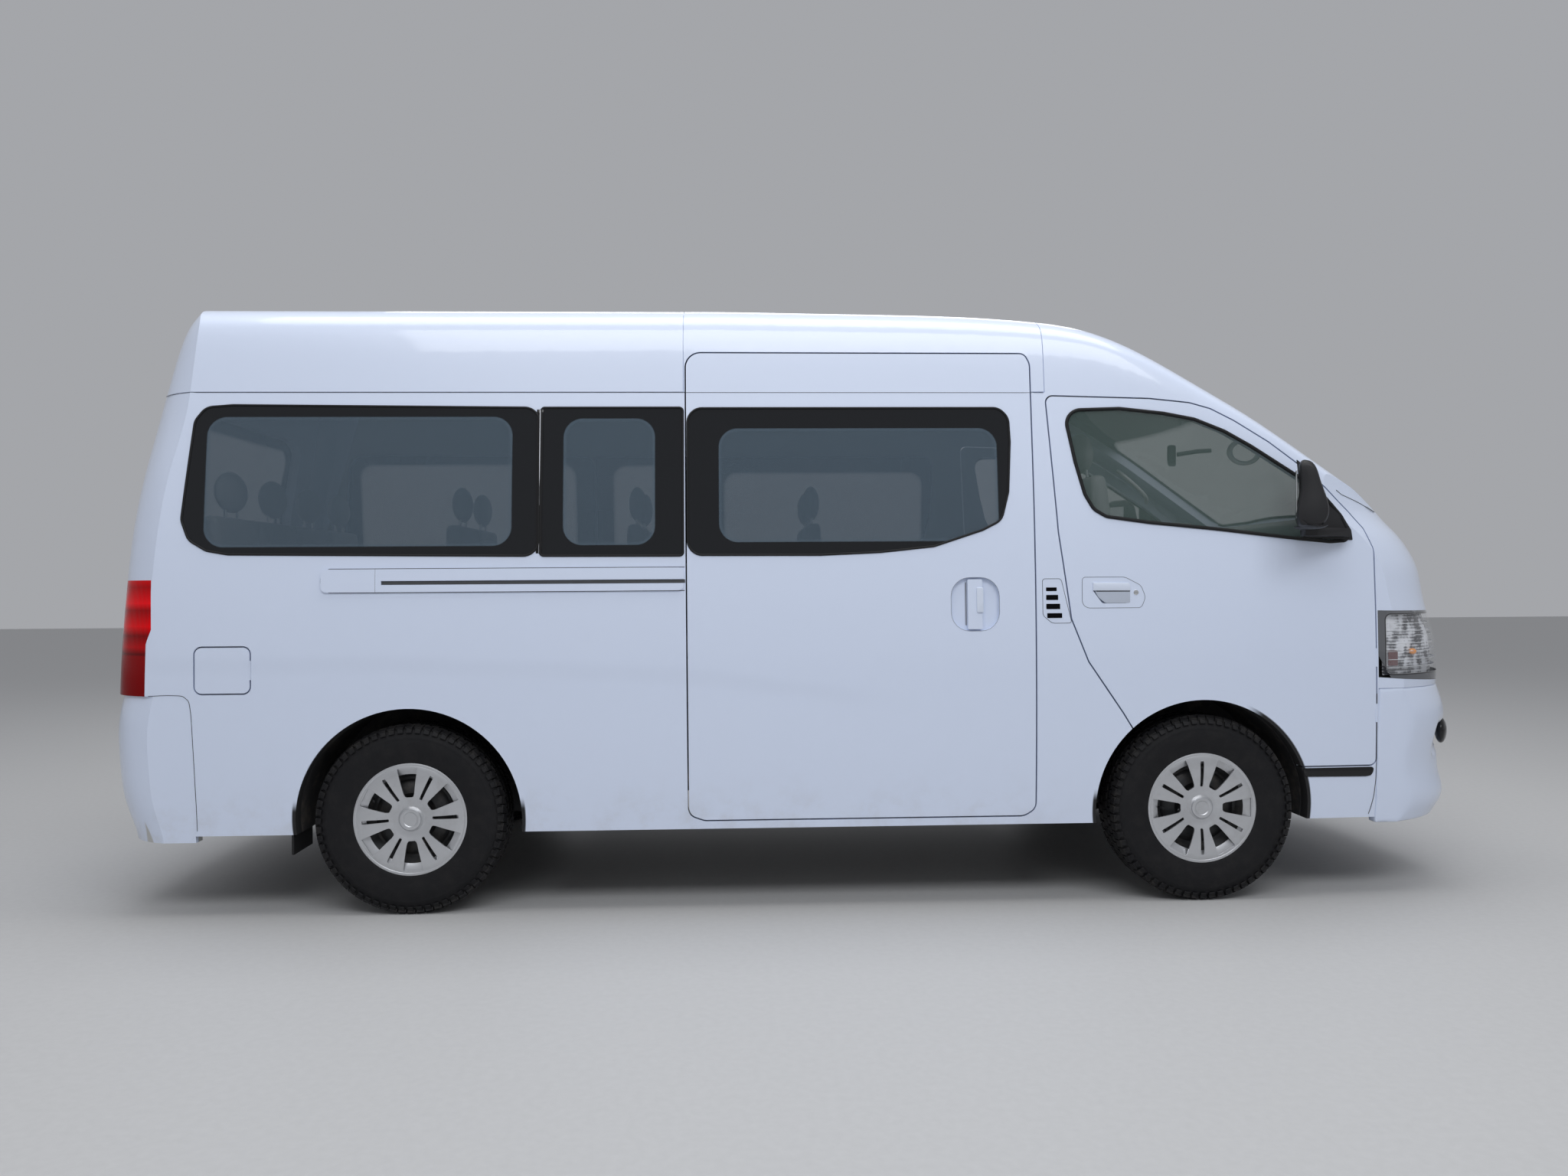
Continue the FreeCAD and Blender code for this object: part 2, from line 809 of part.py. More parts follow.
# Door handles, each in a recess of its door, and the cover over the sliding door's rail.
SLIDING_RECESS_SHARES = ((0.354, 0.5330), (0.354, 0.4460), (0.478, 0.4460), (0.478, 0.5330))
SLIDING_HANDLE_SHARES = ((0.397, 0.5300), (0.397, 0.4490), (0.434, 0.4490), (0.434, 0.5300))
DOOR_RECESS_SHARES = (
    (0.7165, 0.5240), (0.7165, 0.5105), (0.7400, 0.4893), (0.8070, 0.4893), (0.8070, 0.5240),
)
DOOR_HANDLE_SHARES = ((0.7165, 0.5243), (0.7165, 0.5107), (0.8070, 0.5107), (0.8070, 0.5243))
RAIL_COVER_SHARES = ((-1.269, 0.5523), (-1.269, 0.5155), (-0.3165, 0.5155), (-0.3165, 0.5523))
RAIL_SLOT_SHARES = ((-1.080, 0.5335), (-1.080, 0.5270), (-0.30, 0.5270), (-0.30, 0.5335))
sliding_recess = pocket(
    "sliding_recess", side_prism("sliding_recess_block", SLIDING_RECESS_SHARES, right, val.door_corner * 1.2)
)
sliding_grip = side_prism("sliding_grip", SLIDING_HANDLE_SHARES, right, val.pin_radius * 2)
sliding_handle = common("sliding_handle", shell, sliding_grip)
done(
    "sliding_door",
    join(
        "sliding_join",
        cut("sliding_cut", common("sliding_whole", shell, sliding_fill), sliding_glass_hole, sliding_recess),
        sliding_handle,
    ),
)
rail_block = side_prism("rail_cover_block", RAIL_COVER_SHARES, right, val.door_corner / 3)
rail_cover = raised("rail_cover", rail_block, val.rail_cover_depth, right)
done("slide_rail", cut("slide_rail_cut", rail_cover, side_prism("rail_slot", RAIL_SLOT_SHARES, right)))
door_recess_block = side_prism("door_recess_block", DOOR_RECESS_SHARES, right, val.door_corner / 5)
door_recess = pocket("door_recess", door_recess_block)
door_grip = side_prism("door_grip", DOOR_HANDLE_SHARES, right, val.pin_radius * 2)
door_edge = along(FRONT_DOOR_SHARES[6][0]) - val.gap / 2
door_side = -half_width(door_edge, val.widest_height)
door_pins = hinge_pins(
    "door_pins",
    [Vector(door_edge, door_side, val.widest_height + val.pin_length * share) for share in (-2.0, 1.0)],
    Vector(0, 0, 1),
    Vector(-val.gap, val.pin_radius, 0),
)
door_panel = cut(
    "front_door_cut", common("front_door_whole", shell, door_fill), door_glass_hole, front_arch, door_recess
)
front_door = join("front_door_join", door_panel, common("door_handle", shell, door_grip), door_pins)
done("front_door_right", front_door)
done("front_door_left", mirrored("front_door_mirror", front_door))
gate_line = up(TAILGATE_SHARES[0][1]) - val.gap / 2
gate_pins = hinge_pins(
    "gate_pins",
    [Vector(skin_x(gate_line, -1), val.pin_length * share, gate_line) for share in (-2.5, 1.5)],
    Vector(0, 1, 0),
    Vector(val.pin_radius, 0, -val.gap),
)
PLATE_RECESS_SHARES = ((0, 0.500), (0.30, 0.500), (0.30, 0.415), (0, 0.415))
plate_recess = pocket(
    "plate_recess", end_prism("plate_block", both_sides(PLATE_RECESS_SHARES), -2.1, -1.5, val.door_corner / 3)
)
gate_panel = cut("tailgate_cut", common("tailgate_whole", shell, gate_fill), gate_glass_hole, plate_recess)
done("tailgate", join("tailgate_join", gate_panel, gate_pins))
hood_line = up(HOOD_SHARES[0][1]) - val.gap / 2
hood_pins = hinge_pins(
    "hood_pins",
    [Vector(skin_x(hood_line, 1), val.pin_length * share, hood_line) for share in (-2.5, 1.5)],
    Vector(0, 1, 0),
    Vector(-val.pin_radius, 0, -val.gap),
)
done("hood", join("hood_join", common("hood_whole", shell, hood_fill), hood_pins))

done("sliding_door_glass", pane("sliding_pane", sliding_glass_fill))
door_pane = pane("door_pane", door_glass_fill)
done("front_door_glass_right", door_pane)
done("front_door_glass_left", mirrored("door_pane_mirror", door_pane))
done("tailgate_glass", pane("gate_pane", gate_glass_fill))
done("windscreen", pane("screen_pane", screen_fill))
quarter_pane = pane("quarter_pane", quarter_fill)
centre_pane = pane("centre_pane", centre_fill)
done("side_glass_right", group("side_glass_right_group", quarter_pane, centre_pane))
left_pane = feature("left_pane", mirrored_shape(finished["sliding_door_glass"]))
done(
    "side_glass_left",
    group(
        "side_glass_left_group",
        mirrored("quarter_left", quarter_pane),
        mirrored("centre_left", centre_pane),
        left_pane,
    ),
)
lamp_shell = common("tail_lamp_bodies", shell, tail_lamps_zone)
done("tail_lamps", lamp_shell)
head_whole = common("head_lamp_whole", shell, head_lamps_zone)
head_shell = cut("head_lamp_bodies", head_whole, hood_opening, grille_zone)
done("headlamps", head_shell)
GRILLE_SLOT_SHARES = (
    ((0, 0.452), (0.43, 0.452), (0.42, 0.432), (0, 0.432)),
    ((0, 0.424), (0.41, 0.424), (0.39, 0.404), (0, 0.404)),
    ((0, 0.396), (0.385, 0.396), (0.37, 0.376), (0, 0.376)),
)
grille_floor = body_solid(val.grille_depth)
grille_slots = []
for i, shares in enumerate(GRILLE_SLOT_SHARES):
    slot = end_prism(f"grille_slot_{i}", both_sides(shares), 1.7, 2.1, val.pin_radius * 3)
    grille_slots.append(feature(f"grille_gap_{i}", slot.Shape.cut(grille_floor)))
done("grille", cut("grille_body", common("grille_whole", shell, grille_zone), hood_opening, *grille_slots))


# The bumpers stand proud of the body's ends, on the same plan and sides.
NOSE_BUMPER_SHARES = (
    (0.10, 0.955),
    (0.130, 0.970),
    (0.157, 1.0),
    (0.187, 0.984),
    (0.246, 0.984),
    (0.286, 1.0),
    (0.300, 0.999),
    (0.330, 0.981),
    (0.345, 0.970),
    (0.40, 0.93),
)
TAIL_BUMPER_SHARES = (
    (0.10, 0.950),
    (0.140, 0.960),
    (0.152, 0.968),
    (0.18, 0.985),
    (0.25, 1.0),
    (0.305, 1.0),
    (0.330, 0.992),
    (0.354, 0.980),
    (0.40, 0.95),
)
low_box = Part.makeBox(
    along(2) - along(-2), 2 * out(1.1), up(0.4), Vector(along(-2), -out(1.1), up(0.12))
)
bumper_outer = body_solid(0.0, NOSE_BUMPER_SHARES, TAIL_BUMPER_SHARES).common(low_box)
bumper_shell = feature("bumper_shell", bumper_outer.cut(inner_shape))
INTAKE_SHARES = ((0, 0.235), (0.42, 0.235), (0.40, 0.175), (0, 0.175))
intake = end_prism("intake", both_sides(INTAKE_SHARES), 1.7, 2.1, val.window_corner)
FOG_SHARES = ((0.62, 0.275), (0.83, 0.280), (0.83, 0.225), (0.62, 0.235))
fog_floor = body_solid(val.grille_depth, NOSE_BUMPER_SHARES, TAIL_BUMPER_SHARES)
fog_prism = end_prism("fog_prism", FOG_SHARES, 1.6, 2.1, val.rail_width / 4)
doc.recompute()
fog_gap = feature("fog_gap", fog_prism.Shape.cut(fog_floor))
doc.recompute()
done(
    "front_bumper",
    cut(
        "front_bumper_cut", common("front_bumper_whole", bumper_shell, front_bumper_zone),
        intake, both("fog_gaps", fog_gap),
    ),
)
done("rear_bumper", common("rear_bumper_whole", bumper_shell, rear_bumper_zone))

# The floor fills the body between its walls and stays clear of the doors that open.
clear_inner = feature("clear_inner", body_solid(val.wall + val.gap))
inner_space = feature("inner_space", inner_shape)
floor_low = (val.floor_height - val.floor_thickness) / val.body_height
floor_high = val.floor_height / val.body_height
floor_back = common("floor_back", inner_space, slab("floor_back_slab", floor_low, floor_high, (-1.86, 0.60)))
floor_front_slab = slab("floor_front_slab", floor_low, floor_high, (0.59, 1.63))
floor_front = common("floor_front", clear_inner, floor_front_slab)
bulkhead = common("bulkhead", inner_space, slab("bulkhead_slab", floor_low, 0.60, (1.612, 1.63)))


def wheelhouse(name, station, side, space):
    """A round cover over a wheel, closed on its inner side."""
    centre = Vector(along(station), side * val.wheelhouse_inner, val.tyre_diameter / 2)
    reach = out(1) - val.wheelhouse_inner
    drum = Part.makeCylinder(val.arch_radius + val.wheelhouse_wall, reach, centre, Vector(0, side, 0))
    lid = Part.makeBox(
        2 * (val.arch_radius + val.wheelhouse_wall), reach, up(1),
        Vector(
            along(station) - val.arch_radius - val.wheelhouse_wall,
            min(side * val.wheelhouse_inner, side * out(1)),
            val.sill_height,
        ),
    )
    return feature(name, drum.common(lid).common(space.Shape))


def wheel_room(name, station, side):
    """The space that a wheel turns and steers in."""
    start = Vector(
        along(station), side * (val.wheelhouse_inner + val.wheelhouse_wall), val.tyre_diameter / 2
    )
    return feature(name, Part.makeCylinder(val.arch_radius, out(1), start, Vector(0, side, 0)))


doc.recompute()
houses = [
    wheelhouse("house_front_right", 1, right, clear_inner),
    wheelhouse("house_front_left", 1, left, clear_inner),
    wheelhouse("house_rear_right", -1, right, inner_space),
    wheelhouse("house_rear_left", -1, left, inner_space),
]
rooms = [
    wheel_room("room_front_right", 1, right),
    wheel_room("room_front_left", 1, left),
    wheel_room("room_rear_right", -1, right),
    wheel_room("room_rear_left", -1, left),
]
floor_solid = join("floor_solid", floor_back, floor_front, bulkhead, *houses)
ENGINE_STATION = 0.62
engine_x = dim.wheelbase / 2 * ENGINE_STATION
engine_z = dim.tyre_diameter / 2
cover_wall = dim.wheelhouse_wall * 2
cover = box(
    "engine_cover",
    (
        dim.engine_length + cover_wall * 4,
        dim.engine_width + cover_wall * 4,
        dim.engine_height + cover_wall * 2,
    ),
    (engine_x - cover_wall * 2, -dim.engine_width / 2 - cover_wall * 2, engine_z),
)
cover_room = box(
    "engine_room",
    (dim.engine_length + cover_wall * 2, dim.engine_width + cover_wall * 2, dim.engine_height + cover_wall),
    (engine_x - cover_wall, -dim.engine_width / 2 - cover_wall, engine_z),
)
below_floor = box(
    "below_floor",
    (dim.wheelbase, dim.engine_width * 2, dim.floor_height - dim.floor_thickness),
    (0, -dim.engine_width, 0),
)
cover_top = cut("cover_top", cover, below_floor)
arm_room = box(
    "arm_room",
    (dim.arch_radius * 0.62, (dim.wheelhouse_inner + dim.rail_width) * 2, dim.floor_height - dim.rail_width),
    (dim.wheelbase / 2 - dim.arch_radius * 0.31, -dim.wheelhouse_inner - dim.rail_width, 0),
)
tube_room = box(
    "tube_room",
    (
        dim.axle_tube * 1.6,
        (dim.wheelhouse_inner + dim.rail_width) * 2,
        dim.tyre_diameter / 2 + dim.axle_tube * 0.8,
    ),
    (-dim.wheelbase / 2 - dim.axle_tube * 0.8, -dim.wheelhouse_inner - dim.rail_width, 0),
)
done(
    "floor_pan",
    cut(
        "floor_cut", join("floor_with_cover", floor_solid, cover_top),
        *rooms, cover_room, arm_room, tube_room,
    ),
)

# The frame under the floor.
rail_top = dim.floor_height - dim.floor_thickness
rail_z = rail_top - dim.rail_height
rail_start = -(dim.wheelbase / 2 + dim.rear_overhang * 0.88)
rail_length = dim.wheelbase + (dim.front_overhang + dim.rear_overhang) * 0.86
rails = [
    box(
        "rail_right",
        (rail_length, dim.rail_width, dim.rail_height),
        (rail_start, -dim.frame_width / 2, rail_z),
    ),
    box(
        "rail_left",
        (rail_length, dim.rail_width, dim.rail_height),
        (rail_start, dim.frame_width / 2 - dim.rail_width, rail_z),
    ),
]
CROSS_STATIONS = (-1.80, -1.28, -0.55, 0.10, 0.55, 1.22, 1.68)
for i, station in enumerate(CROSS_STATIONS):
    x = dim.wheelbase / 2 * station
    if abs(station) > 1:
        overhang = dim.front_overhang if station > 0 else dim.rear_overhang
        sign = 1 if station > 0 else -1
        x = sign * (dim.wheelbase / 2) + (station - sign) * overhang
    rails.append(
        box(
            f"cross_{i}",
            (dim.rail_width, dim.frame_width - dim.rail_width, dim.rail_height * 0.7),
            (x, -dim.frame_width / 2 + dim.rail_width / 2, rail_z + dim.rail_height * 0.15),
        )
    )
frame = join("frame_join", *rails)
done("chassis_frame", frame)
done(
    "engine_block",
    box(
        "engine",
        (dim.engine_length, dim.engine_width * 0.8, dim.engine_height - cover_wall),
        (engine_x, -dim.engine_width * 0.4, engine_z),
    ),
)


def lathe(name, points):
    """A body turned about the Y axis from an outline of (Y, radius) points."""
    body = doc.addObject("PartDesign::Body", name)
    sketch = body.newObject("Sketcher::SketchObject", f"{name}_profile")
    plane = next(f for f in body.Origin.OriginFeatures if f.Role == "XY_Plane")
    sketch.AttachmentSupport = [(plane, "")]
    sketch.MapMode = "FlatFace"
    count = len(points)
    for i, (y, radius) in enumerate(points):
        y2, radius2 = points[(i + 1) % count]
        start = Vector(float(radius), float(y), 0)
        end = Vector(float(radius2), float(y2), 0)
        sketch.addGeometry(Part.LineSegment(start, end), False)
    for i in range(count):
        sketch.addConstraint(Sketcher.Constraint("Coincident", i, 2, (i + 1) % count, 1))
    for i, (y, radius) in enumerate(points):
        at_x = sketch.addConstraint(Sketcher.Constraint("DistanceX", -1, 1, i, 1, float(radius)))
        sketch.setExpression(f"Constraints[{at_x}]", Length.of(radius).text)
        at_y = sketch.addConstraint(Sketcher.Constraint("DistanceY", -1, 1, i, 1, float(y)))
        sketch.setExpression(f"Constraints[{at_y}]", Length.of(y).text)
    turn = body.newObject("PartDesign::Revolution", f"{name}_turn")
    turn.Profile = sketch
    turn.ReferenceAxis = (sketch, ["V_Axis"])
    turn.Angle = 360
    body.Tip = turn
    return body


def faceted_ring(name, points, facets):
    """A ring of flat facets about the Y axis from an outline of (Y, radius) points.

    The middle of each facet, not its edge, keeps the outline's radius, and one stands level.
    """
    step = 360 / facets
    stretch = 1 / math.cos(math.radians(step / 2))
    rings = []
    for i in range(facets):
        turn = Rotation(Vector(0, 1, 0), step * (i + 1 / 2))
        rings.append([turn.multVec(Vector(radius * stretch, y, 0)) for y, radius in points])
    faces = []
    for ring, after in zip(rings, rings[1:] + rings[:1]):
        corners = list(zip(ring, after))
        for (one, two), (four, three) in zip(corners, corners[1:] + corners[:1]):
            faces.append(Part.Face(Part.makePolygon([one, two, three, four, one])))
    shell = Part.makeShell(faces)
    shell.sewShape()
    return feature(name, Part.makeSolid(Part.Shell(shell.Faces)))


half = dim.tyre_width / 2
tyre_r = dim.tyre_diameter / 2
bead_r = dim.bead_diameter / 2
trim_r = dim.trim_diameter / 2
well_r = dim.rim_well_diameter / 2
rim_half = dim.rim_width / 2
thin = dim.rim_thickness
bead_y = rim_half - thin - dim.seam
TYRE_FACETS = 120
TYRE_SHARES = ((0.93, 0), (1.28, 0.56), (0.845, 1), (-0.845, 1), (-1.28, 0.56), (-0.93, 0))
bead_inner = float(bead_r + dim.seam)
sidewall = float(tyre_r) - bead_inner
tyre_outline = [(float(bead_y) * wide, bead_inner + sidewall * high) for wide, high in TYRE_SHARES]
tyre_body = faceted_ring("tyre_ring", tyre_outline, TYRE_FACETS)
rim_body = lathe(
    "rim_turned",
    [
        (-rim_half, trim_r - thin),
        (-rim_half + thin, trim_r - thin),
        (-rim_half + thin, bead_r),
        (-rim_half * 0.55, bead_r),
        (-rim_half * 0.40, well_r + thin),
        (rim_half * 0.30, well_r + thin),
        (rim_half * 0.55, bead_r),
        (rim_half - thin, bead_r),
        (rim_half - thin, trim_r),
        (rim_half, trim_r),
        (rim_half, bead_r - thin),
        (rim_half * 0.58, bead_r - thin),
        (rim_half * 0.33, well_r),
        (-rim_half * 0.20, well_r),
        (-rim_half * 0.10, dim.hub_diameter / 2),
        (-rim_half * 0.10, 0),
        (-rim_half * 0.60, 0),
        (-rim_half * 0.60, dim.cap_diameter * 0.75),
        (-rim_half * 0.30, dim.hub_diameter / 2),
        (-rim_half * 0.36, well_r),
        (-rim_half * 0.58, bead_r - thin),
        (-rim_half, bead_r - thin),
    ],
)
wall_y = dim.cover_thickness
face_y = -rim_half - wall_y * 2
cover_body = lathe(
    "cover_turned",
    [
        (face_y, 0),
        (face_y, dim.cap_diameter * 0.58),
        (face_y + wall_y * 2.6, dim.cap_diameter * 0.64),
        (face_y + wall_y * 2.6, dim.hub_diameter * 0.46),
        (face_y, dim.trim_diameter * 0.30),
        (face_y, dim.trim_diameter * 0.455),
        (face_y + wall_y, trim_r),
        (-rim_half, trim_r),
        (-rim_half, dim.trim_diameter * 0.47),
        (face_y + wall_y, dim.trim_diameter * 0.44),
        (face_y + wall_y, dim.trim_diameter * 0.31),
        (face_y + wall_y * 4, dim.hub_diameter * 0.47),
        (face_y + wall_y * 4, dim.cap_diameter * 0.70),
        (-rim_half * 0.59, dim.cap_diameter * 0.60),
        (-rim_half * 0.59, 0),
    ],
)
COVER_WINDOW_SHARES = ((0.40, 0.055), (0.44, 0.088), (0.87, 0.172), (0.90, 0.168))
COVER_SLOT_SHARES = ((0.39, 0.020), (0.41, 0.025), (0.80, 0.034), (0.84, 0.028))
COVER_SPOKE_PAIRS = 6
slot_start_degrees = 3


def cover_opening(shares, degrees):
    """A cutter through the wheel cover, given by shares of its radius along and across a ray."""
    radius = val.trim_diameter / 2
    ray = Rotation(Vector(0, 1, 0), -degrees)
    half_outline = [(reach, wide) for reach, wide in shares]
    corners = half_outline + [(reach, -wide) for reach, wide in reversed(half_outline)]
    start = -val.rim_width / 2 - 3 * val.cover_thickness
    points = [ray.multVec(Vector(radius * reach, start, radius * wide)) for reach, wide in corners]
    return prism(points, Vector(0, 7 * val.cover_thickness, 0), val.cover_thickness)


openings = []
for i in range(COVER_SPOKE_PAIRS):
    turn = 360 / COVER_SPOKE_PAIRS * i + slot_start_degrees
    openings.append(cover_opening(COVER_SLOT_SHARES, turn))
    openings.append(cover_opening(COVER_WINDOW_SHARES, turn + 180 / COVER_SPOKE_PAIRS))
cover_cuts = feature("cover_cuts", Part.makeCompound(openings))
wheel_body = join("wheel_whole", cut("cover_cut", cover_body, cover_cuts), rim_body)
track_half = dim.track / 2
axle_x = dim.wheelbase / 2
WHEELS = {
    "front_right": (1, -1),
    "front_left": (1, 1),
    "rear_right": (-1, -1),
    "rear_left": (-1, 1),
}
for corner, (end, side) in WHEELS.items():
    for kind, body in (("tyre", tyre_body), ("wheel", wheel_body)):
        item = group(f"{kind}_{corner}_copy", body)
        if side > 0:
            item.Placement = Placement(Vector(), Rotation(Vector(0, 0, 1), 180))
        place(item, axle_x * end, track_half * side, tyre_r)
        done(f"{kind}_{corner}", item)

# Steering knuckles, front arms and the live rear axle.
king_y = track_half - dim.kingpin_inset
king_r = dim.leg_size * 0.55
king_half = well_r * 0.84
for name, side in (("right", -1), ("left", 1)):
    turn_y = "-y" if side < 0 else "y"
    upright = rod(f"upright_{name}", king_r, king_half * 2, (axle_x, king_y * side, tyre_r - king_half))
    stub = rod(
        f"stub_{name}", king_r * 1.3, dim.kingpin_inset - rim_half * 0.10 - dim.seam,
        (axle_x, king_y * side, tyre_r), turn_y,
    )
    done(f"knuckle_{name}", join(f"knuckle_{name}_join", upright, stub))

arm_thick = dim.leg_size * 0.6
doc.recompute()


def arm(name, side, z):
    """A wishbone from the frame out to the foot or head of the kingpin."""
    x = val.wheelbase / 2
    inner_y = side * (val.frame_width / 2)
    outer_y = side * float(king_y)
    tip = float(king_r)
    wide = float(dim.arch_radius) * 0.36
    points = [
        Vector(x - wide, inner_y, z),
        Vector(x + wide, inner_y, z),
        Vector(x + tip, outer_y, z),
        Vector(x - tip, outer_y, z),
    ]
    return prism(points, Vector(0, 0, float(arm_thick)))


low_z = float(tyre_r - king_half - arm_thick - dim.seam)
high_z = float(tyre_r + king_half + dim.seam)
arms = None
for side in (right, left):
    for z in (low_z, high_z):
        piece = arm("arm", side, z)
        arms = piece if arms is None else arms.fuse(piece)
    hanger = Part.makeBox(
        float(dim.rail_width), float(dim.rail_width), high_z - low_z + float(arm_thick),
        Vector(val.wheelbase / 2 - val.rail_width / 2,
               side * (val.frame_width / 2) - (0 if side > 0 else val.rail_width), low_z),
    )
    arms = arms.fuse(hanger)
done("front_suspension", feature("front_arms", arms))

tube_end = (-axle_x, -(track_half - rim_half * 0.11), tyre_r)
tube = rod("axle_tube_rod", dim.axle_tube / 2, dim.track - rim_half * 0.22, tube_end, "y")
case_end = (-axle_x, -dim.axle_case * 0.35, tyre_r)
case = rod("axle_case_rod", dim.axle_case / 2, dim.axle_case * 0.7, case_end, "y")
spring_y = dim.frame_width / 2 + dim.rail_width
rear_pieces = [tube, case]
for name, side in (("right", -1), ("left", 1)):
    corner_y = spring_y * side - dim.spring_width / 2
    rear_pieces.append(
        box(
            f"spring_{name}",
            (dim.spring_length, dim.spring_width, dim.spring_thickness),
            (
                -axle_x - dim.spring_length / 2,
                corner_y,
                tyre_r + dim.axle_tube / 2 - dim.spring_thickness / 4,
            ),
        )
    )
    for place_name, sign in (("fore", 1), ("aft", -1)):
        rear_pieces.append(
            box(
                f"hanger_{name}_{place_name}",
                (dim.rail_width, spring_y - dim.frame_width / 2 + dim.spring_width / 2, dim.rail_height),
                (
                    -axle_x + (dim.spring_length / 2 - dim.rail_width) * sign
                    - (dim.rail_width if sign < 0 else 0),
                    dim.frame_width / 2 if side > 0 else -spring_y - dim.spring_width / 2,
                    tyre_r + dim.axle_tube / 2,
                ),
            )
        )
done("rear_axle", join("rear_axle_join", *rear_pieces))
shaft_start = -axle_x + dim.axle_case / 2
done(
    "propeller_shaft",
    rod(
        "shaft", dim.shaft_diameter / 2, engine_x - shaft_start,
        (shaft_start, 0, tyre_r + dim.leg_size), "x",
    ),
)
done(
    "fuel_tank",
    box(
        "tank",
        (dim.tank_length, dim.tank_width * 0.75, dim.tank_height),
        (-dim.wheelbase * 0.22, dim.frame_width / 2 + dim.seam, rail_top - dim.tank_height),
    ),
)
spare_r = dim.spare_diameter / 2
spare_half = dim.tyre_width * 0.4
spare_body = lathe(
    "spare_turned",
    [
        (spare_half * 0.80, bead_r),
        (spare_half, spare_r * 0.80),
        (spare_half * 0.70, spare_r),
        (-spare_half * 0.70, spare_r),
        (-spare_half, spare_r * 0.80),
        (-spare_half * 0.80, bead_r),
        (-spare_half * 0.45, bead_r * 0.92),
        (-spare_half * 0.55, dim.hub_diameter / 2),
        (-spare_half * 0.45, 0),
        (-spare_half * 0.30, 0),
        (-spare_half * 0.30, bead_r * 0.92),
        (spare_half * 0.70, bead_r * 0.92),
    ],
)
spare = group("spare_flat", spare_body)
spare.Placement = Placement(Vector(), Rotation(Vector(1, 0, 0), 90))
place(spare, -axle_x - dim.rear_overhang * 0.60, 0, rail_z + dim.rail_height * 0.15 - dim.seam - spare_half)
done("spare_wheel", spare)
muffler_y = -(dim.frame_width / 2 + dim.muffler_diameter * 0.6)
muffler_z = rail_z + dim.rail_height * 0.2
muffler_x = -dim.wheelbase * 0.285
muffler = rod("muffler", dim.muffler_diameter / 2, dim.muffler_length, (muffler_x, muffler_y, muffler_z), "x")
PIPE_ROUTE_SHARES = (
    (
        (0.3095, -0.19, 0.165), (0.10, -0.19, 0.165), (-0.04, -0.5404, 0.165),
        (-0.10, -0.5404, 0.2009), (-0.115, -0.5404, 0.2009),
    ),
    ((-0.28, -0.5404, 0.2009), (-0.290, -0.5404, 0.2009), (-0.315, -0.62, 0.16), (-0.335, -0.66, 0.135)),
)


def pipe(name, route):
    """A bent pipe along points given as shares of the wheelbase, the half width and the height."""
    points = [Vector(val.wheelbase * x, out(y), up(z)) for x, y, z in route]
    solid = None
    for one, other in zip(points, points[1:]):
        run = other - one
        piece = Part.makeCylinder(val.pipe_diameter / 2, run.Length, one, run)
        ball = Part.makeSphere(val.pipe_diameter / 2, other)
        piece = piece.fuse(ball)
        solid = piece if solid is None else solid.fuse(piece)
    return feature(name, solid)


hanger_top = dim.floor_height - dim.floor_thickness
exhaust_hanger = box(
    "exhaust_hanger",
    (dim.leg_size, dim.leg_size / 2, hanger_top - muffler_z),
    (muffler_x + dim.muffler_length / 2, muffler_y - dim.leg_size / 4, muffler_z),
)
pipes = [pipe(f"pipe_{i}", route) for i, route in enumerate(PIPE_ROUTE_SHARES)]
done("exhaust", join("exhaust_join", muffler, exhaust_hanger, *pipes))

# Seats: a cushion, a back and a headrest for each place, on a leg of its own.
SEAT_ROWS = {
    "front_seats": (0.86, ((-0.60, -0.44), (-0.12, -0.12), (0.55, 0.44))),
    "bench_row_2": (0.08, ((0.17, 0.17), (0.62, 0.62))),
    "bench_row_3": (-0.46, ((0.17, 0.17), (0.62, 0.62))),
    "bench_row_4": (-1.0, ((0.17, 0.17), (0.62, 0.50))),
    "bench_row_5": (-1.62, ((-0.66, -0.66), (-0.22, -0.22), (0.22, 0.22), (0.66, 0.66))),
}
leg_pieces = []
for row_name, (station, places) in SEAT_ROWS.items():
    pieces = []
    for i, (share, leg_share) in enumerate(places):
        x = dim.wheelbase / 2 * station
        if station < -1:
            x = -axle_x + dim.rear_overhang * (station + 1)
        y = dim.body_width / 2 * share
        seat_z = dim.floor_height + dim.seat_height - dim.cushion_height
        sizes = (
            ("cushion", val.seat_depth, val.seat_width, val.cushion_height, 0, 0),
            ("back", val.back_thickness, val.seat_width, val.back_height, -val.back_thickness, val.seat_gap),
            (
                "head", val.back_thickness, val.headrest_width, val.headrest_height, -val.back_thickness,
                val.back_height + val.seat_gap * 0.9,
            ),
        )
        for kind, deep, wide, tall, ahead, lift in sizes:
            corner = Vector(float(x) + ahead, float(y) - wide / 2, float(seat_z) + lift)
            block = Part.makeBox(deep, wide, tall, corner)
            long_edges = [edge for edge in block.Edges if edge.Length > min(deep, tall) * 1.01]
            pad = block.makeFillet(val.seat_round, long_edges)
            pieces.append(feature(f"{row_name}_{kind}_{i}", pad))
        foot_z = dim.floor_height
        if station > 0.5 and abs(leg_share) < 0.2:
            foot_z = engine_z + dim.engine_height + cover_wall * 2
        leg_pieces.append(
            box(
                f"{row_name}_leg_{i}",
                (dim.leg_size, dim.leg_size, seat_z - foot_z),
                (x + dim.seat_depth / 4, dim.body_width / 2 * leg_share - dim.leg_size / 2, foot_z),
            )
        )
    done(row_name, join(f"{row_name}_join", *pieces))
done("seat_frames", group("seat_frames_group", *leg_pieces))
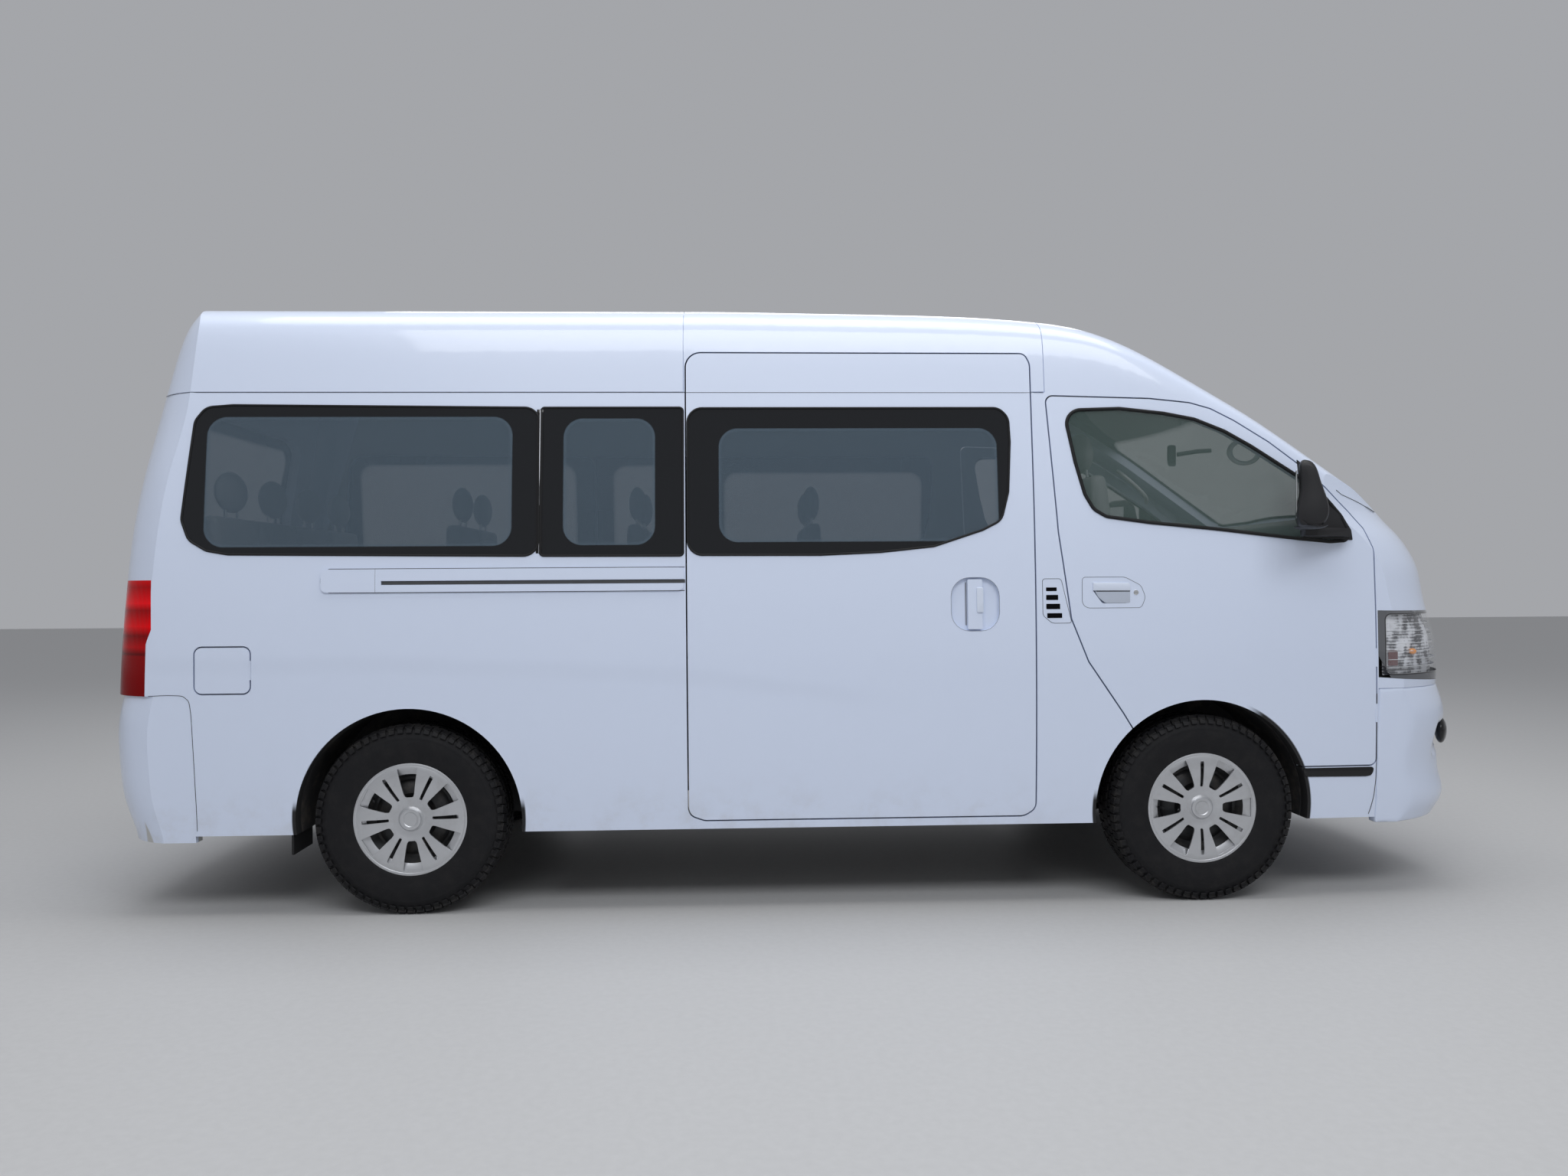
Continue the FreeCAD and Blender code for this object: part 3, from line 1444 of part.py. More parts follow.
DASH_SHARES = ((1.605, 0.585), (1.48, 0.598), (1.40, 0.575), (1.40, 0.50), (1.48, 0.40), (1.605, 0.38))
dash_points = [Vector(along(s), -out(1), up(z)) for s, z in DASH_SHARES]
dash = prism(dash_points, Vector(0, 2 * out(1), 0), val.window_corner)
done("dashboard", common("dashboard_whole", feature("dash_block", dash), clear_inner))
ring_r = dim.steering_diameter / 2
grip = dim.steering_rim / 2
RING_SHARES = (
    (0.4, 0.9), (0.9, 0.4), (0.9, -0.4), (0.4, -0.9),
    (-0.4, -0.9), (-0.9, -0.4), (-0.9, 0.4), (-0.4, 0.9),
)
ring_body = lathe("steering_ring", [(grip * y, ring_r + grip * reach) for reach, y in RING_SHARES])
wheel_ring = group("steering_ring_flat", ring_body)
wheel_ring.Placement = Placement(Vector(), Rotation(Vector(1, 0, 0), 90))
spokes = box(
    "steering_spoke",
    (dim.steering_rim, dim.steering_diameter, dim.steering_rim * 0.5),
    (-dim.steering_rim / 2, -dim.steering_diameter / 2, -dim.steering_rim * 0.25),
)
hub = rod("steering_hub", dim.column_diameter * 0.8, dim.steering_rim, (0, 0, -dim.steering_rim / 2))
STEERING_TILT_DEGREES = -32
steering_z = dim.body_height * 0.595
tilt_cosine = math.cos(math.radians(STEERING_TILT_DEGREES))
column_length = (steering_z - dim.floor_height) / tilt_cosine - dim.column_diameter
column = rod(
    "steering_column_rod",
    dim.column_diameter / 2,
    column_length - dim.steering_rim / 2 - dim.seam,
    (0, 0, -column_length),
)
steering_whole = join("steering_join", wheel_ring, spokes, hub)
for node, item in (("steering_wheel", steering_whole), ("steering_column", column)):
    tilted = group(f"{node}_placed", item)
    tilted.Placement = Placement(Vector(), Rotation(Vector(0, 1, 0), STEERING_TILT_DEGREES))
    place(tilted, axle_x + dim.front_overhang * 0.13, dim.body_width * 0.265, steering_z)
    done(node, tilted)

# Door mirrors, each on an arm that reaches forward to the corner of its door.
MIRROR_SHARES = (
    (1.2935, 0.7147), (1.3100, 0.7120), (1.3360, 0.6841), (1.3555, 0.6530),
    (1.3598, 0.6284), (1.3555, 0.6219), (1.3345, 0.6096), (1.3013, 0.6066),
    (1.2812, 0.6096), (1.2690, 0.6206), (1.2690, 0.6385), (1.2795, 0.6858),
)
MIRROR_ARM_SHARES = (
    (1.305, 1.085), (1.345, 1.085), (1.545, 0.965), (1.545, 0.89),
    (1.505, 0.89), (1.505, 0.935), (1.305, 1.04),
)
MIRROR_SWELL_SHARES = (
    (0, 0.86), (0.03, 0.93), (0.13, 1.0), (0.5, 1.02), (0.87, 1.0), (0.97, 0.93), (1, 0.86),
)


def mirror_ring(depth, size):
    """The mirror's outline at a share of its reach, drawn in to a share of its size."""
    middle_s = sum(s for s, z in MIRROR_SHARES) / len(MIRROR_SHARES)
    middle_z = sum(z for s, z in MIRROR_SHARES) / len(MIRROR_SHARES)
    points = [
        Vector(
            along(middle_s + (s - middle_s) * size),
            -out(1.03) - val.mirror_reach * depth,
            up(middle_z + (z - middle_z) * size),
        )
        for s, z in MIRROR_SHARES
    ]
    outline = Part.BSplineCurve()
    outline.interpolate(Points=points, PeriodicFlag=True)
    return Part.Wire(outline.toShape())


mirror_head = Part.makeLoft([mirror_ring(depth, size) for depth, size in MIRROR_SWELL_SHARES], True, False)
mirror_low = up(0.5965)
arm_points = [Vector(along(s), -out(y), mirror_low) for s, y in MIRROR_ARM_SHARES]
mirror_arm = prism(arm_points, Vector(0, 0, val.mirror_height * 0.11))
mirror = feature("mirror_block", mirror_head.fuse(mirror_arm).cut(skin_clear))
done("mirror_right", mirror)
done("mirror_left", mirrored("mirror_mirror", mirror))
flap_x = -axle_x - dim.arch_radius - dim.wheelhouse_wall - dim.seam - dim.mud_flap_thickness
flap_low = tyre_r * 0.65
flap_parts = []
for name, side in (("right", -1), ("left", 1)):
    inner_y = track_half - dim.tyre_width / 2
    for part_name, wide, low, high in (
        ("upper", dim.body_width / 2 - dim.wall - dim.sill_tuck * 1.2 - inner_y, flap_low, hanger_top),
        ("lower", dim.tyre_width * 0.97, flap_low, dim.sill_height - dim.seam),
    ):
        corner_y = inner_y if side > 0 else -inner_y - wide
        flap_parts.append(
            box(
                f"mud_flap_{name}_{part_name}",
                (dim.mud_flap_thickness, wide, high - low),
                (flap_x, corner_y, low),
            )
        )
done("mud_flaps", join("mud_flaps_join", *flap_parts))
doc.recompute()
os.makedirs("parts", exist_ok=True)
for node, item in finished.items():
    broken = [state for state in item.State if state in ("Invalid", "Error")]
    shape = item.Shape
    if broken or shape.isNull() or not shape.isValid():
        raise RuntimeError(f"{node} did not build")
    print(node, round(shape.Volume / 1e6, 2), len(shape.Solids), len(shape.Faces))
    shape.exportStep(f"parts/{node}.step")
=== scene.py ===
"""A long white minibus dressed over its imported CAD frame.

Everything is in metres in the frame of the CAD: +X forward, +Y to the vehicle's left, +Z up, with the
ground at Z = 0 and the origin midway between the axles.
"""

from __future__ import annotations

import json
import logging
import math
from dataclasses import dataclass, field
from enum import Enum
from typing import Any, Iterable, Sequence

import bmesh
import bpy
from mathutils import Matrix, Vector
from mathutils.bvhtree import BVHTree

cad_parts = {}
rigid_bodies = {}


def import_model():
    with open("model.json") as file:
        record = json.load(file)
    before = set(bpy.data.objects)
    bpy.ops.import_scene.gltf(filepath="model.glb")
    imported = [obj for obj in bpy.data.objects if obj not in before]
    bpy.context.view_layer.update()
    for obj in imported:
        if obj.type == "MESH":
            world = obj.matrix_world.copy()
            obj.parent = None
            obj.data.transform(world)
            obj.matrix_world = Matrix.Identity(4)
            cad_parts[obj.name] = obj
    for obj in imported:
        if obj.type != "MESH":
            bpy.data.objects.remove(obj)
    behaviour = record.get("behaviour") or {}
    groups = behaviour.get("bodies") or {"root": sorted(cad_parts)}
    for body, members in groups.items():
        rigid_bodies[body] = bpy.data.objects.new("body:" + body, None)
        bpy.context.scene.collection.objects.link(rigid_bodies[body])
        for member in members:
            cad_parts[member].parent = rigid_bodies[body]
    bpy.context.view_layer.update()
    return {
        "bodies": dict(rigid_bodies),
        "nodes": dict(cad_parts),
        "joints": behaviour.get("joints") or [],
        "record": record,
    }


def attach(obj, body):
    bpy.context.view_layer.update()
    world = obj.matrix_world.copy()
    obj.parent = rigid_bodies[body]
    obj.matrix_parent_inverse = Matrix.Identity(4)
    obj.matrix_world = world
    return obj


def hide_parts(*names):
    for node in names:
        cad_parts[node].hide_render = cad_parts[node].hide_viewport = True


log = logging.getLogger("minibus")

Point = Sequence[float]
Pair = tuple[float, float]
Colour = tuple[float, float, float]
Box = tuple[float, float, float, float]
Piece = bpy.types.Object

RIGHT = -1
LEFT = 1
SIDES = ((RIGHT, "right"), (LEFT, "left"))
FULL_TURN = 2 * math.pi
ALONG_Y = (0.0, 1.0, 0.0)
LOOSE = 2e-5


class Outward(Enum):
    """The side of the body that a pane or a lamp looks out of."""

    RIGHT = (0.0, -1.0, 0.0)
    LEFT = (0.0, 1.0, 0.0)
    AHEAD = (0.9, 0.0, 0.45)
    BEHIND = (-1.0, 0.0, 0.1)


@dataclass(frozen=True)
class Body:
    """The main lines of the body that pieces on its skin follow, in metres."""

    half_width: float = 0.940
    widest: float = 0.800
    seam: float = 1.915
    sill: float = 0.298
    seam_tuck: float = 0.080
    sill_tuck: float = 0.020
    nose_tuck: float = 0.034
    tuck_start: float = 1.029
    tuck_end: float = 2.157
    axle: float = 1.470
    hub: float = 0.3465
    track: float = 0.827

    def side(self, x: float, z: float) -> float:
        """The half width of the skin at a station and a height.

        Args:
            x: The station along the vehicle.
            z: The height above the ground.

        Returns:
            The distance of the skin from the middle plane.
        """
        width = self.half_width
        if z > self.widest:
            width -= self.seam_tuck * ((z - self.widest) / (self.seam - self.widest)) ** 2
        else:
            width -= self.sill_tuck * ((self.widest - z) / (self.widest - self.sill)) ** 2
        if x > self.tuck_start:
            width -= self.nose_tuck * ((x - self.tuck_start) / (self.tuck_end - self.tuck_start)) ** 2
        return width


BODY = Body()


class Signal:
    """A node socket whose arithmetic adds Math nodes to its tree."""

    def __init__(self, shader: "Shader", socket: Any) -> None:
        """Wraps a socket.

        Args:
            shader: The shader that the socket belongs to.
            socket: The output socket.
        """
        self.shader = shader
        self.socket = socket

    def maths(self, operation: str, *others: Any) -> "Signal":
        """Adds one Math node.

        Args:
            operation: The node's operation.
            others: Further values or signals.

        Returns:
            The node's result.
        """
        values = dict(enumerate((self, *others)))
        return self.shader.add("ShaderNodeMath", {"operation": operation}, values)

    def __add__(self, other: Any) -> "Signal":
        """The sum."""
        return self.maths("ADD", other)

    __radd__ = __add__

    def __sub__(self, other: Any) -> "Signal":
        """The difference."""
        return self.maths("SUBTRACT", other)

    def __rsub__(self, other: Any) -> "Signal":
        """The difference, this one taken away."""
        return (self * -1.0) + other

    def __mul__(self, other: Any) -> "Signal":
        """The product."""
        return self.maths("MULTIPLY", other)

    __rmul__ = __mul__

    def __truediv__(self, other: Any) -> "Signal":
        """The quotient."""
        return self.maths("DIVIDE", other)

    def __pow__(self, other: Any) -> "Signal":
        """The power."""
        return self.maths("POWER", other)

    def __abs__(self) -> "Signal":
        """The size without its sign."""
        return self.maths("ABSOLUTE")

    def sine(self) -> "Signal":
        """The sine."""
        return self.maths("SINE")

    def over(self, other: Any) -> "Signal":
        """The larger of two."""
        return self.maths("MAXIMUM", other)

    def under(self, other: Any) -> "Signal":
        """The smaller of two."""
        return self.maths("MINIMUM", other)

    def step(self, low: float, high: float) -> "Signal":
        """A smooth rise from 0 at low to 1 at high, or a fall where low is the larger."""
        falls = low > high
        low, high = sorted((low, high))
        rise = self.shader.add(
            "ShaderNodeMapRange", {"interpolation_type": "SMOOTHSTEP"},
            {"Value": self, "From Min": low, "From Max": high}
        )
        return 1.0 - rise if falls else rise


class Shader:
    """One material's node tree, which ends in a principled surface."""

    def __init__(self, name: str) -> None:
        """Starts an empty tree.

        Args:
            name: The material's name.
        """
        self.material = bpy.data.materials.new(name)
        self.material.use_nodes = True
        self.tree = self.material.node_tree
        self.tree.nodes.clear()
        self.output = self.tree.nodes.new("ShaderNodeOutputMaterial")
        self.surface = self.tree.nodes.new("ShaderNodeBsdfPrincipled")
        self.tree.links.new(self.surface.outputs[0], self.output.inputs[0])

    def feed(self, socket: Any, value: Any) -> None:
        """Puts a value or a signal into a socket."""
        if isinstance(value, Signal):
            self.tree.links.new(value.socket, socket)
        elif isinstance(value, tuple) and len(value) == 3 and socket.type == "RGBA":
            socket.default_value = (*value, 1.0)
        else:
            socket.default_value = value

    def add(
        self, kind: str, settings: dict[str, Any], values: dict[Any, Any], result: int | str = 0
    ) -> Signal:
        """Adds one node.

        Args:
            kind: The node's type.
            settings: Properties that are set first.
            values: Values or signals by socket name or number.
            result: The output that is wanted.

        Returns:
            The output as a signal.
        """
        node = self.tree.nodes.new(kind)
        for name, value in settings.items():
            setattr(node, name, value)
        for name, value in values.items():
            self.feed(node.inputs[name], value)
        return Signal(self, node.outputs[result])

    def set(self, **values: Any) -> "Shader":
        """Sets sockets of the surface; a name's underscores stand for spaces."""
        for name, value in values.items():
            self.feed(self.surface.inputs[name.replace("_", " ")], value)
        return self

    def place(self) -> Signal:
        """The point of the surface in the piece's own frame."""
        return self.add("ShaderNodeTexCoord", {}, {}, "Object")

    def split(self, vector: Signal) -> tuple[Signal, Signal, Signal]:
        """The three parts of a vector."""
        first = self.add("ShaderNodeSeparateXYZ", {}, {0: vector})
        node = first.socket.node
        return tuple(Signal(self, node.outputs[i]) for i in range(3))

    def noise(self, vector: Signal, scale: float, detail: float = 2.0, rough: float = 0.5) -> Signal:
        """A noise between 0 and 1 about its middle."""
        values = {"Vector": vector, "Scale": scale, "Detail": detail, "Roughness": rough}
        return self.add("ShaderNodeTexNoise", {}, values, 0)

    def mix(self, amount: Any, low: Any, high: Any) -> Signal:
        """A colour between two."""
        node = self.tree.nodes.new("ShaderNodeMix")
        node.data_type = "RGBA"
        self.feed(node.inputs[0], amount)
        self.feed(node.inputs[6], low)
        self.feed(node.inputs[7], high)
        return Signal(self, node.outputs[2])

    def bump(self, height: Signal, distance: float, strength: float = 1.0) -> Signal:
        """A normal that follows a height."""
        return self.add("ShaderNodeBump", {}, {"Height": height, "Distance": distance, "Strength": strength})

    def rounded(self, across: Signal, height: Signal, box: Box, corner: float) -> Signal:
        """The distance from a rounded rectangle, negative inside.

        Args:
            across: The coordinate along the rectangle.
            height: The coordinate up the rectangle.
            box: Its low and high along, then its low and high up.
            corner: The radius of its corners.

        Returns:
            The signed distance.
        """
        x0, x1, z0, z1 = box
        dx = abs(across - (x0 + x1) / 2) - ((x1 - x0) / 2 - corner)
        dz = abs(height - (z0 + z1) / 2) - ((z1 - z0) / 2 - corner)
        outer = (dx.over(0.0) ** 2.0 + dz.over(0.0) ** 2.0) ** 0.5
        return outer + dx.over(dz).under(0.0) - corner


@dataclass(frozen=True)
class Paint:
    """White body paint with its faint waviness, road dust low down and grey trim on inner faces."""

    name: str = "white_paint"
    colour: Colour = (0.70, 0.775, 0.935)
    trim: Colour = (0.50, 0.50, 0.485)
    fold: Box = (-1.556, -0.448, 0.951, 0.0030)
    dust: Colour = (0.42, 0.39, 0.35)
    liner: Colour = (0.012, 0.012, 0.013)
    rough: float = 0.28
    dust_top: float = 0.62

    def make(self) -> bpy.types.Material:
        """Builds the material."""
        shader = Shader(self.name)
        place = shader.place()
        x, y, z = shader.split(place)
        rise = ((z - BODY.widest) / (BODY.seam - BODY.widest)).over(0.0)
        skin = BODY.half_width - rise * rise * BODY.seam_tuck
        inner_side = (abs(y) - skin + 0.038).step(0.0, -0.004)
        slope = (z - 1.40).over(0.0) * 0.9 + (z - 2.05).over(0.0) * 1.6
        nose = (x - 1.86 + slope).step(0.0, -0.01)
        tail = (x + 2.42 - (z - 1.30).over(0.0) * 0.33).step(-0.01, 0.0)
        inner_ends = nose * tail
        from_axle = abs(x) - BODY.axle
        from_hub = z - BODY.hub
        reach = (from_axle * from_axle + from_hub * from_hub) ** 0.5
        arch = reach.step(0.424, 0.418) * (abs(y) - skin + 0.010).step(0.0, -0.003)
        inner_roof = (z - 2.215 + y * y * 0.06).step(0.0, -0.008)
        inner = inner_side * inner_ends * inner_roof
        speck = shader.noise(place, 9.0, 6.0, 0.65)
        low = z.step(self.dust_top, 0.28) ** 2.0
        dust = low * speck.step(0.42, 0.75) * x.step(1.1, 0.6) * 0.26
        cloud = shader.noise(place, 1.3, 2.0)
        body = shader.mix(cloud * 0.35, self.colour, tuple(c * 0.965 for c in self.colour))
        body = shader.mix(dust, body, self.dust)
        body = shader.mix(inner, body, self.trim)
        shader.set(Base_Color=shader.mix(arch, body, self.liner))
        shader.set(Roughness=(inner * 0.4 + arch * 0.5 + self.rough + dust * 0.6).under(0.9))
        shader.set(Coat_Weight=(1.0 - inner.over(arch)) * (1.0 - dust) * 0.6, Coat_Roughness=0.06)
        fold = z - self.fold[2] + (x - self.fold[0]).over(0.0) * 0.047 + (x - self.fold[1]).over(0.0) * 0.088
        bulge = fold.step(-0.075, 0.004) * x.step(0.35, 0.10) * (x + 2.45).step(0.0, 0.10) * self.fold[3]
        shader.set(Normal=shader.bump(shader.noise(place, 160.0, 2.0) * 0.00004 + bulge, 1.0))
        return shader.material


@dataclass(frozen=True)
class Pane:
    """Window glass with its printed black border round the clear areas."""

    name: str
    # The default tint's light bluish veil is partly the glass's own tint and partly a painted reflection of a
    # bright sky.
    tint: Colour = (0.105, 0.148, 0.190)
    clear: float = 0.48
    border: Colour = (0.008, 0.009, 0.011)
    areas: tuple[Box, ...] = ()
    across: int = 0
    corner: float = 0.05

    def make(self) -> bpy.types.Material:
        """Builds the material."""
        shader = Shader(self.name)
        parts = shader.split(shader.place())
        across = parts[self.across]
        z = parts[2]
        shader.set(Roughness=0.03, Specular_IOR_Level=0.42, Coat_Weight=0.0)
        if not self.areas:
            shader.set(Base_Color=self.tint, Alpha=self.clear)
            return shader.material
        near = None
        for area in self.areas:
            distance = shader.rounded(across, z, area, self.corner)
            near = distance if near is None else near.under(distance)
        printed = near.step(-0.002, 0.002)
        dots = near.step(-0.016, 0.0) * 0.35
        shader.set(Base_Color=shader.mix(printed, self.tint, self.border))
        shader.set(Alpha=(printed.over(dots) * (1.0 - self.clear) + self.clear).under(1.0))
        return shader.material


@dataclass(frozen=True)
class Plain:
    """A finish of one colour with a fine grain and a slow change of shade."""

    name: str
    colour: Colour
    rough: float = 0.5
    metal: float = 0.0
    coat: float = 0.0
    grain: float = 0.0
    grain_scale: float = 400.0
    shade: float = 0.12
    alpha: float = 1.0
    grime: float = 0.0
    shine: float = 0.5
    grime_colour: Colour = (0.16, 0.135, 0.11)

    def make(self) -> bpy.types.Material:
        """Builds the material."""
        shader = Shader(self.name)
        place = shader.place()
        slow = shader.noise(place, 6.0, 3.0)
        dark = tuple(c * (1.0 - self.shade) for c in self.colour)
        light = tuple(min(1.0, c * (1.0 + self.shade)) for c in self.colour)
        colour = shader.mix(slow, dark, light)
        rough: Any = slow * 0.08 + (self.rough - 0.04)
        if self.grime:
            patch = shader.noise(place, 14.0, 5.0, 0.7).step(0.45, 0.7) * self.grime
            colour = shader.mix(patch, colour, self.grime_colour)
            rough = rough + patch * 0.3
        shader.set(Base_Color=colour, Roughness=rough, Metallic=self.metal, Coat_Weight=self.coat)
        shader.set(Specular_IOR_Level=self.shine)
        if self.alpha < 1.0:
            shader.set(Alpha=self.alpha)
        if self.grain:
            shader.set(Normal=shader.bump(shader.noise(place, self.grain_scale, 3.0), self.grain, 0.6))
        return shader.material


@dataclass(frozen=True)
class Tyre:
    """Black rubber, dustier on its tread, with fine rings on its wall."""

    name: str = "tyre_rubber"
    colour: Colour = (0.0085, 0.0085, 0.010)
    dust: Colour = (0.050, 0.046, 0.042)

    def make(self) -> bpy.types.Material:
        """Builds the material."""
        shader = Shader(self.name)
        place = shader.place()
        x, _, z = shader.split(place)
        from_axle = (abs(x) - BODY.axle)
        radius = (from_axle * from_axle + (z - BODY.hub) * (z - BODY.hub)) ** 0.5
        tread = radius.step(0.315, 0.338)
        patch = shader.noise(place, 22.0, 5.0, 0.7).step(0.40, 0.72)
        dust = (tread * 0.35 + 0.12) * patch
        shader.set(
            Base_Color=shader.mix(dust, self.colour, self.dust), Roughness=dust * 0.3 + 0.58,
            Specular_IOR_Level=0.22
        )
        rings = (radius * 1500.0).sine()
        wall = radius.step(0.312, 0.300) * radius.step(0.225, 0.235)
        height = rings * wall * 0.25 + shader.noise(place, 500.0, 2.0) * 0.5
        shader.set(Normal=shader.bump(height, 0.0006, 0.5))
        return shader.material


@dataclass(frozen=True)
class Cloth:
    """Woven seat cloth with crossing threads and a soft sheen."""

    name: str = "seat_cloth"
    colour: Colour = (0.40, 0.405, 0.42)
    light: Colour = (0.54, 0.545, 0.56)
    threads: float = 2400.0

    def make(self) -> bpy.types.Material:
        """Builds the material."""
        shader = Shader(self.name)
        place = shader.place()
        x, y, z = shader.split(place)
        along = ((x + z) * self.threads).sine()
        over = ((y + x * 0.3) * self.threads).sine()
        weave = along * over * 0.5 + 0.5
        fleck = shader.noise(place, 120.0, 3.0)
        shader.set(Base_Color=shader.mix(weave * 0.4 + fleck * 0.5, self.colour, self.light))
        shader.set(Roughness=0.9, Sheen_Weight=0.25)
        shader.set(Normal=shader.bump(weave, 0.0004, 0.6))
        return shader.material


@dataclass(frozen=True)
class RedLens:
    """A red tail lamp lens whose chambers differ from top to bottom, its bright bands partly painted
    highlight, lighter towards the top.
    """

    name: str = "red_lens"
    low: float = 0.809
    high: float = 1.227
    # Colour stops from bottom to top: the red of each chamber, with painted highlight in the bright bands.
    chamber_and_highlight_stops: tuple[tuple[float, Colour], ...] = (
        (0.0, (0.20, 0.0, 0.001)), (0.34, (0.26, 0.0, 0.001)), (0.36, (0.12, 0.0, 0.001)),
        (0.42, (0.50, 0.001, 0.003)), (0.52, (0.22, 0.0, 0.001)), (0.60, (0.84, 0.002, 0.006)),
        (0.74, (0.34, 0.0, 0.002)), (0.80, (0.95, 0.004, 0.010)), (0.94, (0.44, 0.0, 0.002)),
        (1.0, (0.70, 0.002, 0.005)),
    )

    def make(self) -> bpy.types.Material:
        """Builds the material."""
        shader = Shader(self.name)
        place = shader.place()
        x, y, z = shader.split(place)
        rise = (z - self.low) / (self.high - self.low)
        ramp = shader.tree.nodes.new("ShaderNodeValToRGB")
        ramp.color_ramp.elements[0].position = 0.0
        ramp.color_ramp.elements[1].position = 1.0
        while len(ramp.color_ramp.elements) < len(self.chamber_and_highlight_stops):
            ramp.color_ramp.elements.new(0.5)
        for element, (position, colour) in zip(ramp.color_ramp.elements, self.chamber_and_highlight_stops):
            element.position = position
            element.color = (*colour, 1.0)
        shader.feed(ramp.inputs[0], rise)
        ribs = ((x + y) * 620.0).sine()
        shader.set(Base_Color=Signal(shader, ramp.outputs[0]), Roughness=0.12, Specular_IOR_Level=0.10)
        shader.set(Coat_Weight=0.05, Coat_Roughness=0.03)
        shader.set(Normal=shader.bump(ribs * rise.step(0.30, 0.55), 0.0005, 0.35))
        return shader.material


@dataclass(frozen=True)
class LampLens:
    """A clear headlamp lens with a dark frame round its clear part."""

    name: str = "clear_lens"
    clear: Colour = (0.80, 0.82, 0.85)
    frame: Colour = (0.115, 0.120, 0.130)
    rim: Colour = (0.012, 0.012, 0.014)
    area: Box = (2.186, 2.80, 0.842, 1.066)
    corner: float = 0.02
    alpha: float = 0.07

    def make(self) -> bpy.types.Material:
        """Builds the material."""
        shader = Shader(self.name)
        x, _, z = shader.split(shader.place())
        near = shader.rounded(x, z, self.area, self.corner)
        frame = near.step(-0.0015, 0.0015)
        rim = near.step(0.0055, 0.0040) * frame
        printed = shader.mix(rim, self.frame, self.rim)
        shader.set(Base_Color=shader.mix(frame, self.clear, printed), Roughness=0.05)
        shader.set(Alpha=frame * (1.0 - self.alpha) + self.alpha, Coat_Weight=0.6, Coat_Roughness=0.03)
        return shader.material


@dataclass(frozen=True)
class PaintedGlintReflector:
    """A reflector whose colour holds painted highlights and painted shade in patches, a painted reflection of
    facets, over a bump of upright flutes.
    """

    name: str = "fluted_reflector"
    # light and dark: the painted highlight and the painted shade of the reflector's facets.
    light: Colour = (0.88, 0.90, 0.95)
    dark: Colour = (0.035, 0.036, 0.045)

    def make(self) -> bpy.types.Material:
        """Builds the material."""
        shader = Shader(self.name)
        place = shader.place()
        x, y, z = shader.split(place)
        flutes = ((x - y) * 210.0).sine()
        bands = (z * 520.0 + (x - y) * 12.0).sine()
        patches = shader.noise(place, 17.0, 3.0, 0.55)
        # Where the patches rise, painted highlight; where they fall, painted shade.
        bright = (patches + flutes * 0.015 + bands * 0.05).step(0.37, 0.60)
        shader.set(Base_Color=shader.mix(bright, self.dark, self.light), Roughness=0.16, Metallic=0.15)
        shader.set(Normal=shader.bump(flutes, 0.0020, 0.6))
        return shader.material


